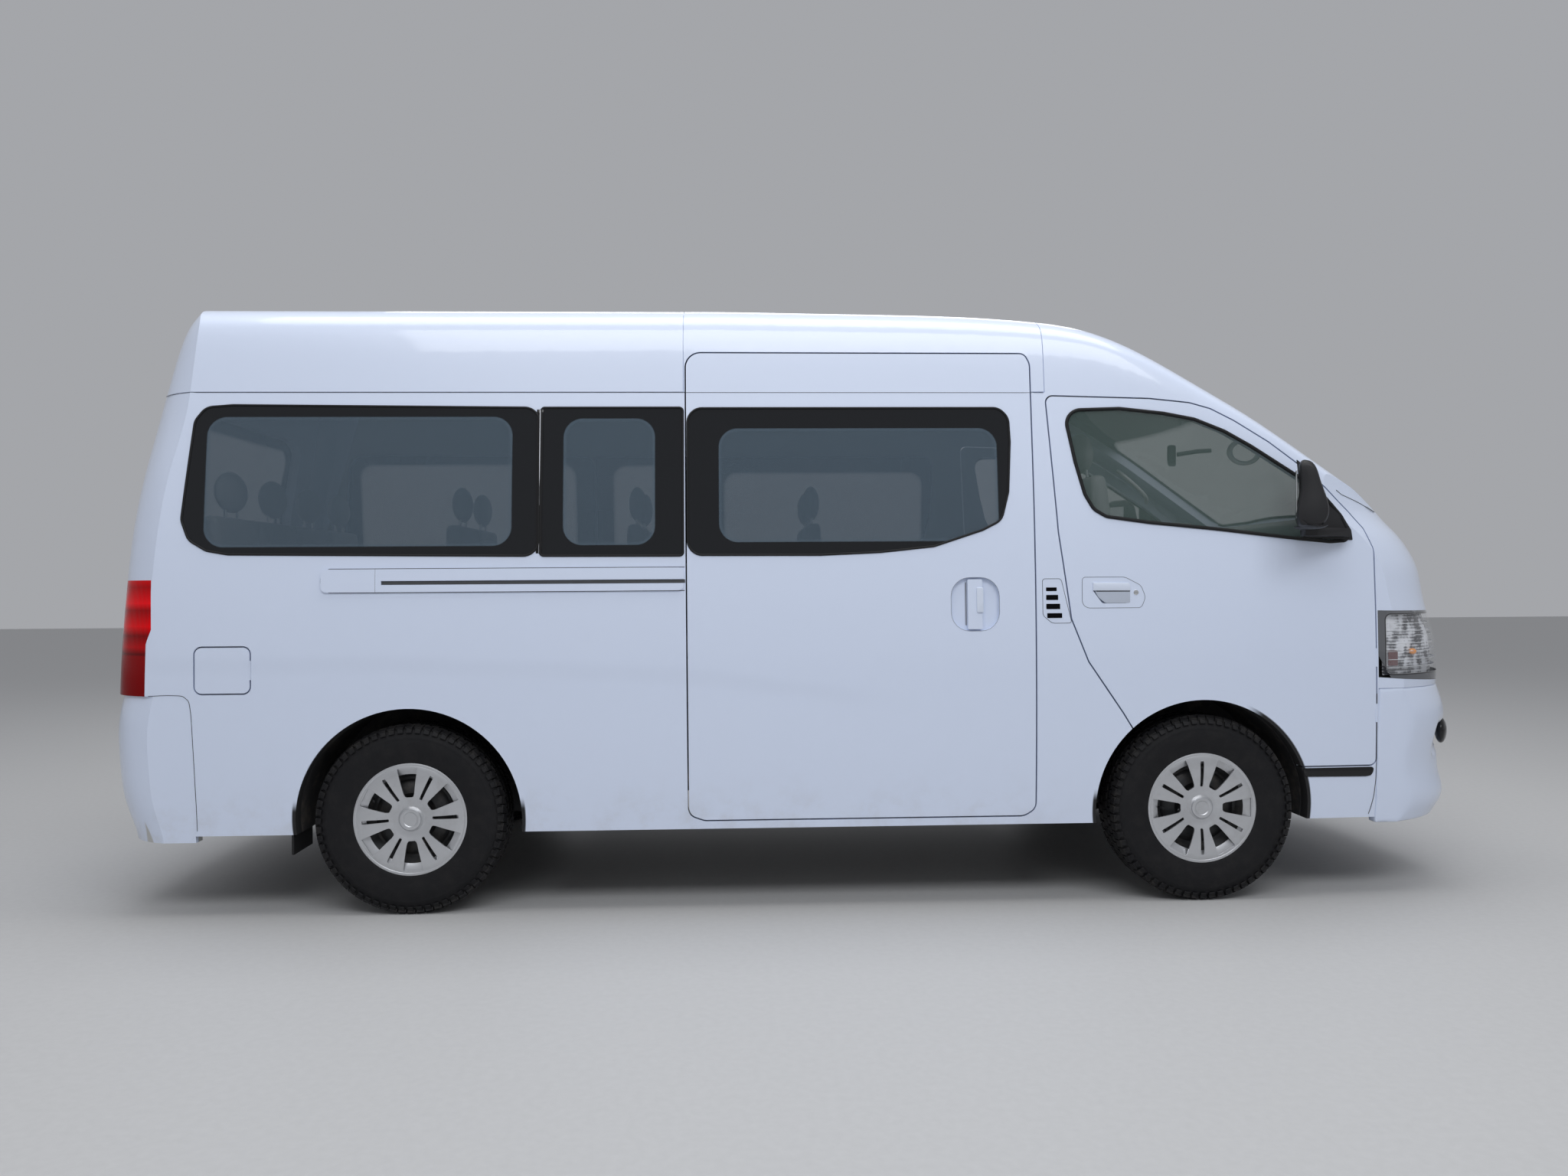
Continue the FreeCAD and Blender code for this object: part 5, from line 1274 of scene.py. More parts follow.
@dataclass
class SideTrim:
    """Handles, louvres, shut lines and strips on the sides of the body, with painted shade in the handle
    recesses and in the vent's and the rail's slots.
    """

    sliding_dish: Box = (0.521, 0.702, 1.019, 1.218)
    door_dish: tuple[Pair, ...] = (
        (1.014, 1.216), (1.175, 1.216), (1.236, 1.184), (1.252, 1.140), (1.236, 1.101), (1.030, 1.101),
        (1.012, 1.118),
    )
    # Outline of the handle bowl, a plate painted darker than the body as painted shade in the recess.
    door_bowl_shade: tuple[Pair, ...] = (
        (1.060, 1.164), (1.194, 1.164), (1.193, 1.119), (1.100, 1.119), (1.074, 1.140)
    )
    door_paddle: tuple[Pair, ...] = (
        (1.053, 1.196), (1.188, 1.194), (1.194, 1.184), (1.194, 1.165), (1.053, 1.166)
    )
    door_shade: tuple[Pair, ...] = ((1.066, 1.1665), (1.193, 1.1665), (1.193, 1.1615), (1.066, 1.1615))
    door_lock: Pair = (1.216, 1.158)
    sliding_lever: Box = (0.617, 0.641, 1.088, 1.180)
    sliding_shade: Box = (0.5765, 0.5815, 1.040, 1.200)
    vent: tuple[Pair, ...] = ((0.864, 1.211), (0.934, 1.211), (0.972, 1.046), (0.898, 1.046), (0.864, 1.075))
    # Boxes of the vent's slots, each covered by a dark sheet of painted shade.
    louvres: tuple[Box, ...] = (
        (0.877, 0.917, 1.165, 1.179), (0.877, 0.922, 1.132, 1.151), (0.877, 0.929, 1.098, 1.118),
        (0.880, 0.936, 1.065, 1.083),
    )
    rail: Box = (-1.778, -0.463, 1.178, 1.262)
    # The rail's slot, covered by a dark strip of painted shade.
    rail_slot: Box = (-1.580, -0.461, 1.205, 1.218)
    rail_joint: tuple[Pair, ...] = ((-1.583, 1.262), (-1.583, 1.178))
    rail_rise: float = 0.0068
    rail_gap: float = 0.0012
    pane_joint: Box = (-1.006, -0.982, 1.316, 1.850)
    pane_bead: tuple[Pair, ...] = ((-0.9937, 1.318), (-0.9937, 1.848))
    bead_rise: float = 0.0012
    front_seam: tuple[Pair, ...] = (
        (2.147, 0.795), (2.147, 0.600), (2.147, 0.488), (2.146, 0.440), (2.140, 0.380), (2.129, 0.335),
        (2.119, 0.306)
    )
    rear_seam: tuple[Pair, ...] = (
        (-2.400, 0.809), (-2.330, 0.812), (-2.270, 0.810), (-2.247, 0.790), (-2.240, 0.740), (-2.233, 0.560),
        (-2.229, 0.400), (-2.229, 0.304),
    )
    cowl_seam: tuple[Pair, ...] = ((2.0157, 1.5425), (2.0413, 1.5255), (2.1352, 1.4961), (2.229, 1.4641))
    roof_seam: tuple[Pair, ...] = (
        (-2.400, 1.915), (-1.600, 1.915), (-0.470, 1.915), (0.300, 1.9145), (0.890, 1.914)
    )
    fog_place: Point = (2.568, 0.620, 0.590)
    fog_size: Point = (0.022, 0.060, 0.052)
    fog_degrees: float = 32.0
    step_strip: tuple[Pair, ...] = (
        (1.854, 0.4905), (2.137, 0.4905), (2.131, 0.462), (2.112, 0.455), (1.864, 0.458)
    )

    @staticmethod
    def corners(box: Box) -> list[Pair]:
        """The four corners of a box given by its low and high along and up."""
        x0, x1, z0, z1 = box
        return [(x0, z0), (x1, z0), (x1, z1), (x0, z1)]

    def doors(self) -> None:
        """Locks, handles and dish edges of the doors, with painted shade in the handle bowls, under the
        paddles and beside the sliding door's bar, and a soft painted shade line round the sliding door's
        dish.
        """
        for side, word in SIDES:
            body = f"front_door_{word}"
            edge = Skin.line(f"door_dish_{word}", self.door_dish, side, 0.0009, "edge", 0.012)
            Bench.hang(edge, body, "white_paint")
            at = Skin.point(*self.door_lock, side, 0.0005)
            lock = Bench.rod(f"door_lock_{word}", at, 0.0095, 0.004, "chrome", 32, math.pi / 2)
            Bench.hang(Bench.bevel(lock, 0.001, 2), body, "wheel_silver")
            # The bowl plate is painted shade in the recess under the paddle.
            bowl = Skin.patch(f"door_bowl_{word}", self.door_bowl_shade, side, "bowl", 0.0006, 0.0010, 0.006)
            paddle = Skin.patch(f"door_paddle_{word}", self.door_paddle, side, "white", 0.0030, 0.0060, 0.003)
            # A dark strip of painted shade under the paddle.
            shade = Skin.patch(f"door_handle_shade_{word}", self.door_shade, side, "edge", 0.0012, 0.0014)
            for piece in (bowl, paddle, shade):
                Bench.hang(piece, body, "white_paint")
        dish, lever, bar = map(self.corners, (self.sliding_dish, self.sliding_lever, self.sliding_shade))
        # A soft painted shade line round the dish, and a painted shade strip in the dish beside the bar.
        edge = Skin.line("sliding_dish_edge", dish, RIGHT, 0.0008, "crease", 0.070)
        lever = Skin.patch("sliding_lever", lever, RIGHT, "white", 0.002, 0.007, 0.004)
        shade = Skin.patch("sliding_bar_shade", bar, RIGHT, "crease", -0.0145, 0.0012, 0.002)
        for piece in (edge, lever, shade):
            Bench.hang(piece, "root", "white_paint")

    def panels(self) -> None:
        """The louvred vent with painted shade in its slots, the rail's slot with a strip of painted shade and
        the joint of its cover, the joint of the panes and the step strip.
        """
        edge = Skin.line("vent_edge", self.vent, RIGHT, 0.0010, "edge", 0.010)
        Bench.hang(edge, "root", "white_paint")
        for i, box in enumerate(self.louvres):
            # Each slot of the vent gets a dark sheet of painted shade.
            dark = Skin.patch(f"vent_dark_{i}", self.corners(box), RIGHT, "void", 0.0006, 0.0010, 0.002)
            Bench.hang(dark, "root", "black_plastic")
        # A dark strip of painted shade in the rail's slot.
        dark = Skin.patch("rail_dark", self.corners(self.rail_slot), RIGHT, "housing", 0.0008, 0.0012)
        joint = Skin.line("rail_joint", self.rail_joint, RIGHT, 0.0007, "edge", closed=False)
        for vertex in joint.data.vertices:
            vertex.co.y -= self.rail_rise
        for piece in (dark, joint):
            Bench.hang(piece, "root", "black_plastic")
        for side, word in SIDES:
            corners = self.corners(self.pane_joint)
            joint = Skin.patch(f"pane_joint_{word}", corners, side, "gloss", 0.0005, 0.0012)
            bead = Skin.line(f"pane_bead_{word}", self.pane_bead, side, 0.0017, "bead", closed=False)
            for vertex in bead.data.vertices:
                vertex.co.y += side * self.bead_rise
            for piece in (joint, bead):
                Bench.hang(piece, "root", "black_plastic")
            strip = Skin.patch(f"step_strip_{word}", self.step_strip, side, "gloss", 0.0016, 0.004, 0.012)
            Bench.hang(strip, "root", "black_plastic")

    def seams(self) -> None:
        """The shut lines of the bumpers and the roof, and the edge of the rail's cover."""
        x0, x1, z0, z1 = self.rail
        x0, z0, z1 = x0 - self.rail_gap, z0 - self.rail_gap, z1 + self.rail_gap
        cover = (
            (x1, z1), (x0 + 0.030, z1), (x0 + 0.008, z1 - 0.010), (x0, z1 - 0.035), (x0, z0 + 0.035),
            (x0 + 0.008, z0 + 0.010), (x0 + 0.030, z0), (x1, z0)
        )
        edge = Skin.line("rail_edge", cover, RIGHT, 0.0016, "edge", closed=False)
        Bench.hang(edge, "root", "white_paint")
        for side, word in SIDES:
            front = Skin.seam(f"front_bumper_seam_{word}", self.front_seam, side, 0.0015)
            cowl = Skin.seam(f"cowl_seam_{word}", self.cowl_seam, side, 0.0015, rounds=0)
            rear = Skin.seam(f"rear_bumper_seam_{word}", self.rear_seam, side)
            roof = Skin.seam(f"roof_seam_{word}", self.roof_seam, side, 0.0010, cuts=24, rounds=0)
            for piece in (front, rear, roof, cowl):
                Bench.hang(piece, "root", "white_paint")

    def fog(self) -> None:
        """A black fog lamp surround in each corner of the front bumper."""
        x, y, z = self.fog_place
        for side, word in SIDES:
            at = (x, y * side, z)
            surround = Bench.edit(Bench.ball(f"fog_surround_{word}", at, self.fog_size, "gloss"))
            turn = -math.radians(self.fog_degrees) * side
            bpy.ops.transform.rotate(value=turn, orient_axis="Z", center_override=at)
            Bench.done()
            Bench.hang(surround, "root", "black_plastic")

    def build(self) -> None:
        """Builds every strip, lock and edge."""
        self.doors()
        self.panels()
        self.seams()
        self.fog()
        log.info("side trim: done")


@dataclass
class DoorCorner:
    """The black corner of a front door's window, its divider and the mirror's glass."""

    corner: tuple[Pair, ...] = (
        (1.855, 1.658), (1.873, 1.644), (1.968, 1.512), (2.023, 1.447), (2.058, 1.388), (2.062, 1.350),
        (1.868, 1.360),
    )
    mirror: Point = (1.7775, 1.045, 1.512)
    mirror_middle: Pair = (1.828, 1.045)
    mirror_low: float = 1.398
    arm_front: float = 2.030
    mirror_degrees: float = 24.0

    def turn_mirror(self, node: str, side: int, word: str) -> None:
        """A door mirror turned in towards the driver, with its glass and a shorter arm."""
        piece = Bench.edit(Bench.copy_node(node, f"{node}_turned"))
        bpy.ops.mesh.remove_doubles(threshold=LOOSE)
        bpy.ops.mesh.bisect(
            plane_co=(self.arm_front, 0, 0), plane_no=(1, 0, 0), clear_outer=True, use_fill=True
        )
        bpy.ops.mesh.select_all(action="DESELECT")
        Bench.done()
        x, y, z = self.mirror
        glass = Bench.slab(
            f"mirror_glass_{word}", (x, y * side, z), (0.004, 0.120, 0.175), "chrome", 0.0015, 2
        )
        for item in (piece, glass):
            Bench.pick(item)
            for vertex in item.data.vertices:
                vertex.select = vertex.co.z > self.mirror_low
            bpy.ops.object.mode_set(mode="EDIT")
            bpy.ops.transform.rotate(
                value=-math.radians(self.mirror_degrees) * side,
                orient_axis="Z",
                center_override=(self.mirror_middle[0], self.mirror_middle[1] * side, z),
            )
            Bench.done()
        Bench.pick(glass)
        Bench.named(glass.name, "chrome")
        Bench.hang(glass, f"front_door_{word}", "wheel_silver")
        Bench.pick(piece)
        Bench.named(piece.name, "plastic")
        bpy.ops.object.shade_smooth_by_angle(angle=math.radians(38))
        Bench.hang(piece, f"front_door_{word}", "black_plastic", node)

    def build(self) -> None:
        """Builds the corner of both doors."""
        for side, word in SIDES:
            plate = Skin.patch(
                f"door_corner_{word}", self.corner, side, "plastic", 0.0010, 0.005, 0.004, 0.06
            )
            Bench.hang(plate, f"front_door_{word}", "black_plastic")
            self.turn_mirror(f"mirror_{word}", side, word)
        log.info("door corners: done")


@dataclass
class HeadLamp:
    """A headlamp: a clear lens over a dark tray with reflectors, fins and an amber bulb."""

    side: int
    word: str
    lens_thick: float = 0.003
    sheet_thick: float = 0.002
    sheet_depth: float = 0.016
    fin_depth: float = 0.006
    fin_thick: float = 0.0022
    outer_share: float = 0.55
    frame: tuple[float, float, float] = (2.188, 0.842, 1.066)
    fins: tuple[float, ...] = (1.030, 1.002, 0.985, 0.955, 0.925, 0.894, 0.866)
    bowls: tuple[Box, ...] = ((2.400, 0.700, 0.965, 0.052), (2.455, 0.560, 0.965, 0.050))
    bulb: Point = (2.322, 0.842, 0.923)
    bulb_sizes: Point = (0.0156, 0.012, 0.012)
    marker: tuple[Pair, ...] = ((2.198, 0.872), (2.236, 0.872), (2.236, 0.930), (2.198, 0.930))

    def half(self, name: str) -> Piece:
        """A copy of this side's lamp body."""
        piece = Bench.edit(Bench.copy_node("headlamps", name))
        right = self.side == RIGHT
        bpy.ops.mesh.bisect(plane_co=(0, 0, 0), plane_no=ALONG_Y, clear_outer=right, clear_inner=not right)
        Bench.done()
        return piece

    def faces(self, piece: Piece, outer: bool) -> None:
        """Keeps only the outer skin of a lamp body, or only the rest."""
        Bench.pick(piece)
        for polygon in piece.data.polygons:
            centre = polygon.center
            out = Vector((max(centre.x - 1.9, 0.05) * 1.6, centre.y, 0.0)).normalized()
            polygon.select = (polygon.normal.dot(out) > self.outer_share) != outer
        bpy.ops.object.mode_set(mode="EDIT")
        bpy.ops.mesh.select_mode(type="FACE")
        bpy.ops.mesh.delete(type="FACE")
        Bench.done()

    def thicken(self, piece: Piece, thick: float, finish: str) -> Piece:
        """Gives a sheet its thickness, inwards, and its finish."""
        Bench.modify(piece, "SOLIDIFY", thickness=thick, offset=-1.0)
        Bench.named(piece.name, finish)
        bpy.ops.object.shade_smooth_by_angle(angle=math.radians(35))
        return piece

    def inward(self, piece: Piece, depth: float) -> None:
        """Draws a piece in towards the middle of the vehicle by a depth."""
        Bench.edit(piece)
        bpy.ops.transform.resize(value=(1.0, 1.0 - depth / 0.88, 1.0), center_override=(0, 0, 0))
        bpy.ops.transform.translate(value=(-depth * 1.1, 0.0, 0.0))
        Bench.done()

    def crop(self, piece: Piece, rear: float, low: float, high: float) -> None:
        """Cuts away what lies behind a station, below a height and above another."""
        for at, normal in (((rear, 0, 0), (-1, 0, 0)), ((0, 0, low), (0, 0, -1)), ((0, 0, high), (0, 0, 1))):
            Bench.edit(piece)
            bpy.ops.mesh.bisect(plane_co=at, plane_no=normal, clear_outer=True)
            Bench.done()

    def reflector(self) -> Piece:
        """The ribbed sheet behind the clear part of the lens, bright with painted reflections."""
        sheet = self.half(f"lamp_reflector_{self.word}")
        self.faces(sheet, True)
        self.inward(sheet, self.sheet_depth)
        rear, low, high = self.frame
        self.crop(sheet, rear - 0.01, low - 0.006, high + 0.006)
        return self.thicken(sheet, self.sheet_thick, "reflector")

    def blades(self) -> Piece:
        """Thin level fins across the clear part."""
        pieces = []
        for i, height in enumerate(self.fins):
            blade = self.half(f"lamp_fin_{self.word}_{i}")
            self.inward(blade, self.fin_depth)
            self.crop(blade, self.frame[0] + 0.004, height, height + self.fin_thick)
            Bench.edit(blade)
            bpy.ops.mesh.select_mode(type="EDGE")
            bpy.ops.mesh.select_all(action="DESELECT")
            bpy.ops.mesh.select_non_manifold()
            bpy.ops.mesh.edge_face_add()
            Bench.done()
            pieces.append(Bench.named(blade.name, "chamber"))
        return Bench.merge(f"lamp_fins_{self.word}", pieces)

    def build(self) -> None:
        """Builds the lamp."""
        lens = self.half(f"lamp_lens_{self.word}")
        self.faces(lens, True)
        self.thicken(lens, self.lens_thick, "lens")
        tray = self.half(f"lamp_tray_{self.word}")
        self.faces(tray, False)
        self.thicken(tray, self.sheet_thick, "housing")
        bowls = []
        for x, y, z, radius in self.bowls:
            at = (x, y * self.side, z)
            bowls.append(Bench.ball(f"lamp_bowl_{self.word}_{len(bowls)}", at, (radius,) * 3, "chrome"))
        x, y, z = self.bulb
        bulb = Bench.ball(f"lamp_bulb_{self.word}", (x, y * self.side, z), self.bulb_sizes, "amber", 24, 12)
        name = f"lamp_marker_{self.word}"
        marker = Skin.patch(name, self.marker, self.side, "marker", -0.009, 0.004, 0.004)
        reflector, blades = self.reflector(), self.blades()
        bowl = Bench.merge(f"lamp_bowls_{self.word}", bowls)
        for piece in (reflector, blades, bowl, bulb, marker, tray):
            Bench.hang(piece, "root", "lamp_clear")
        Bench.hang(lens, "root", "lamp_clear", "headlamps")


@dataclass
class Seats:
    """Padded seats: a cushion, a back and a headrest each, swollen once and copied to every place."""

    rows: tuple[tuple[str, float, tuple[float, ...], float, float], ...] = (
        ("front_seats", 1.2642, (-0.564, -0.1128, 0.517), 0.16, 7.0),
        ("bench_row_2", 0.1176, (0.1598, 0.5828), 0.0, 0.0),
        ("bench_row_3", -0.6762, (0.1598, 0.5828), 0.0, 0.0),
        ("bench_row_4", -1.47, (0.1598, 0.5828), 0.0, 0.0),
        ("bench_row_5", -2.1799, (-0.6204, -0.2068, 0.2068, 0.6204), 0.0, 0.0),
    )
    base: float = 0.855
    width: float = 0.43
    depth: float = 0.43
    cushion: float = 0.11
    back_thick: float = 0.09
    back_height: float = 0.60
    back_gap: float = 0.025
    head: tuple[float, float, float] = (0.09, 0.25, 0.165)
    swell: float = 0.022
    voxel: float = 0.006
    kept_share: float = 0.16
    post_half: float = 0.055
    pressure: float = 4.0
    frames: int = 20

    def pad(self, name: str, centre: Point, size: Point, seams: Sequence[float], cap: float) -> Piece:
        """One pad, swollen by a cloth simulation between its seams; without seams it starts as an egg.

        Args:
            name: The pad's name.
            centre: Its middle.
            size: Its full size once swollen.
            seams: Offsets of the sewn channels across from its middle.
            cap: How far a point may move.

        Returns:
            The pad.
        """
        inset = [max(s - cap * 1.2, s * 0.6) for s in size]
        if seams:
            pad = Bench.slab(name, centre, inset, "cloth", min(inset) * 0.34, 3)
        else:
            pad = Bench.ball(name, centre, [s * 0.55 for s in inset], "cloth", 40, 24)
        Bench.modify(pad, "REMESH", mode="VOXEL", voxel_size=self.voxel)
        self.inflate(pad, centre, inset, seams, cap)
        Bench.modify(pad, "DECIMATE", ratio=self.kept_share)
        bpy.ops.object.shade_smooth()
        return pad

    def inflate(
        self, pad: Piece, centre: Point, size: Sequence[float], seams: Sequence[float], cap: float
    ) -> None:
        """Runs the cloth and limits how far each point moved."""
        rest = [vertex.co.copy() for vertex in pad.data.vertices]
        held = pad.vertex_groups.new(name="sewn")
        waist = min(range(3), key=lambda axis: size[axis])
        for vertex in pad.data.vertices:
            offset = vertex.co - Vector(centre)
            near_seam = min((abs(offset.y - seam) for seam in seams), default=1.0)
            rim = abs(offset[waist]) < self.voxel * 0.7
            if near_seam < self.voxel * 0.75 or rim:
                held.add([vertex.index], 1.0, "REPLACE")
        cloth = pad.modifiers.new("cloth", "CLOTH")
        cloth.settings.quality = 5
        cloth.settings.use_pressure = True
        cloth.settings.uniform_pressure_force = self.pressure
        cloth.settings.effector_weights.gravity = 0.0
        cloth.settings.vertex_group_mass = held.name
        cloth.settings.pin_stiffness = 1.0
        scene = bpy.context.scene
        for frame in range(1, self.frames + 1):
            scene.frame_set(frame)
        bpy.ops.object.modifier_apply(modifier=cloth.name)
        for vertex, start in zip(pad.data.vertices, rest):
            move = vertex.co - start
            if move.length > cap:
                vertex.co = start + move.normalized() * cap
        scene.frame_set(1)
        pad.vertex_groups.clear()

    def template(self) -> list[Piece]:
        """The three pads of a seat whose front lower edge of the back is at the origin."""
        low = self.base
        cushion = self.pad(
            "seat_cushion",
            (self.depth / 2, 0.0, low + self.cushion / 2),
            (self.depth, self.width, self.cushion),
            (-0.115, 0.115),
            self.swell,
        )
        back = self.pad(
            "seat_back",
            (-self.back_thick / 2, 0.0, low + self.back_gap + self.back_height / 2),
            (self.back_thick, self.width, self.back_height),
            (-0.125, 0.125),
            self.swell,
        )
        head_low = low + self.back_height + self.back_gap * 0.9
        head = self.pad(
            "seat_head", (-self.back_thick / 2, 0.0, head_low + self.head[2] / 2 + 0.006), self.head, (),
            self.swell * 0.8
        )
        return [cushion, back, head]

    def set_back(self, piece: Piece, kind: str, rise: float, lean: float) -> None:
        """Makes a back taller, lifts its headrest and leans both.

        Args:
            piece: The copied pad or post.
            kind: What it is: cushion, back or head.
            rise: How much taller the back is.
            lean: How far it leans, in degrees.
        """
        if kind == "cushion" or not rise:
            return
        foot = Vector((0.0, 0.0, self.base + self.back_gap))
        Bench.edit(piece)
        if kind == "back":
            bpy.ops.transform.resize(value=(1.0, 1.0, 1.0 + rise / self.back_height), center_override=foot)
        else:
            bpy.ops.transform.translate(value=(0.0, 0.0, rise))
        bpy.ops.transform.rotate(value=math.radians(lean), orient_axis="Y", center_override=foot)
        Bench.done()

    def place(
        self, pads: Sequence[Piece], name: str, x: float, ys: Sequence[float], rise: float, lean: float
    ) -> None:
        """Copies the pads to every place of a row."""
        copies = []
        for y in ys:
            for pad, kind in zip(pads, ("cushion", "back", "head")):
                piece = bpy.data.objects.new(f"{name}_pad", pad.data.copy())
                bpy.context.scene.collection.objects.link(piece)
                self.set_back(piece, kind, rise, lean)
                piece.location = (x, y, 0.0)
                copies.append(Bench.settle(piece))
        row = Bench.merge(f"{name}_pads", copies)
        Bench.hang(row, "root", "seat_fabric", name)

    def posts(self) -> None:
        """Two bright posts under every headrest."""
        pieces = []
        for name, x, ys, rise, lean in self.rows:
            for y in ys:
                for side in (-self.post_half, self.post_half):
                    at = (-self.back_thick / 2, side, self.base + self.back_height + self.back_gap)
                    post = Bench.rod(f"{name}_post", at, 0.006, 0.06, "chrome", 12)
                    self.set_back(post, "head", rise, lean)
                    post.location = (x, y, 0.0)
                    pieces.append(Bench.settle(post))
        posts = Bench.merge("headrest_posts", pieces)
        bpy.ops.object.shade_smooth_by_angle(angle=math.radians(35))
        Bench.hang(posts, "root", "wheel_silver")

    def build(self) -> None:
        """Makes the template, copies it and removes it."""
        pads = self.template()
        for name, x, ys, rise, lean in self.rows:
            self.place(pads, name, x, ys, rise, lean)
        for pad in pads:
            bpy.data.objects.remove(pad)
        self.posts()
        log.info("seats: done")


@dataclass
class Cabin:
    """Pieces of the cabin that show through the glass."""

    dash_profile: tuple[Pair, ...] = (
        (1.93, 1.36), (1.95, 1.425), (2.02, 1.447), (2.15, 1.452), (2.235, 1.440), (2.235, 1.36)
    )
    dash_half: float = 0.77
    mirror_place: Point = (1.712, 0.02, 1.768)
    mirror_turn: float = 21.0

    def ring(self, name: str, centre: Point, radii: Pair) -> None:
        """A closed oval grab ring that stands upright."""
        Bench.clear()
        bpy.ops.mesh.primitive_torus_add(
            major_segments=48, minor_segments=12, major_radius=1.0, minor_radius=0.20, location=centre,
            rotation=(math.pi / 2, 0.0, 0.0)
        )
        piece = bpy.context.view_layer.objects.active
        piece.scale = (radii[0], radii[1], radii[1])
        Bench.settle(Bench.named(name, "pale"))
        bpy.ops.object.shade_smooth()
        Bench.hang(piece, "root", "black_plastic")

    def handle(self, name: str, points: Sequence[Point]) -> None:
        """A pale grab handle on a pillar."""
        bar = Bench.tube(name, points, 0.011, "pale")
        Bench.modify(bar, "SUBSURF", levels=1, render_levels=1)
        Bench.hang(bar, "root", "black_plastic")

    def build(self) -> None:
        """Builds the dash top, the handles and the mirror."""
        points = [(x, -self.dash_half, z) for x, z in self.dash_profile]
        pad = Bench.sheet("dash_top", points, (0.0, 2 * self.dash_half, 0.0), "dash")
        Bench.edit(pad)
        for side in (RIGHT, LEFT):
            bpy.ops.mesh.bisect(
                plane_co=(2.235, side * 0.40, 0.0), plane_no=(0.78, side * 0.28, 0.0), clear_outer=True,
                use_fill=True
            )
            bpy.ops.mesh.select_all(action="SELECT")
        Bench.done()
        Bench.bevel(pad, 0.012, 3)
        Bench.hang(pad, "root", "black_plastic")
        hood = Bench.slab("gauge_hood", (1.86, 0.498, 1.425), (0.16, 0.36, 0.11), "dash", 0.03, 4)
        Bench.hang(hood, "root", "black_plastic")
        self.ring("assist_ring_right", (1.728, -0.705, 1.705), (0.058, 0.044))
        self.handle(
            "pillar_handle_left",
            [
                (1.700, 0.745, 1.770), (1.722, 0.700, 1.737), (1.780, 0.690, 1.682), (1.840, 0.700, 1.628),
                (1.850, 0.745, 1.605),
            ],
        )
        stem = Bench.tube(
            "mirror_stem", [(1.884, 0.0, 1.790), (1.820, 0.0, 1.786), (1.730, 0.0, 1.772)], 0.010, "plastic"
        )
        head = Bench.slab("cabin_mirror", (1.712, 0.02, 1.768), (0.036, 0.240, 0.075), "plastic", 0.010, 3)
        glass = Bench.slab(
            "cabin_mirror_glass", (1.6935, 0.02, 1.768), (0.002, 0.215, 0.056), "chrome", 0.0006, 1
        )
        for piece in (head, glass):
            Bench.edit(piece)
            bpy.ops.transform.rotate(
                value=math.radians(self.mirror_turn), orient_axis="Z", center_override=self.mirror_place
            )
            Bench.done()
        for piece in (stem, head, glass):
            Bench.hang(piece, "root", "black_plastic")
        log.info("cabin: done")


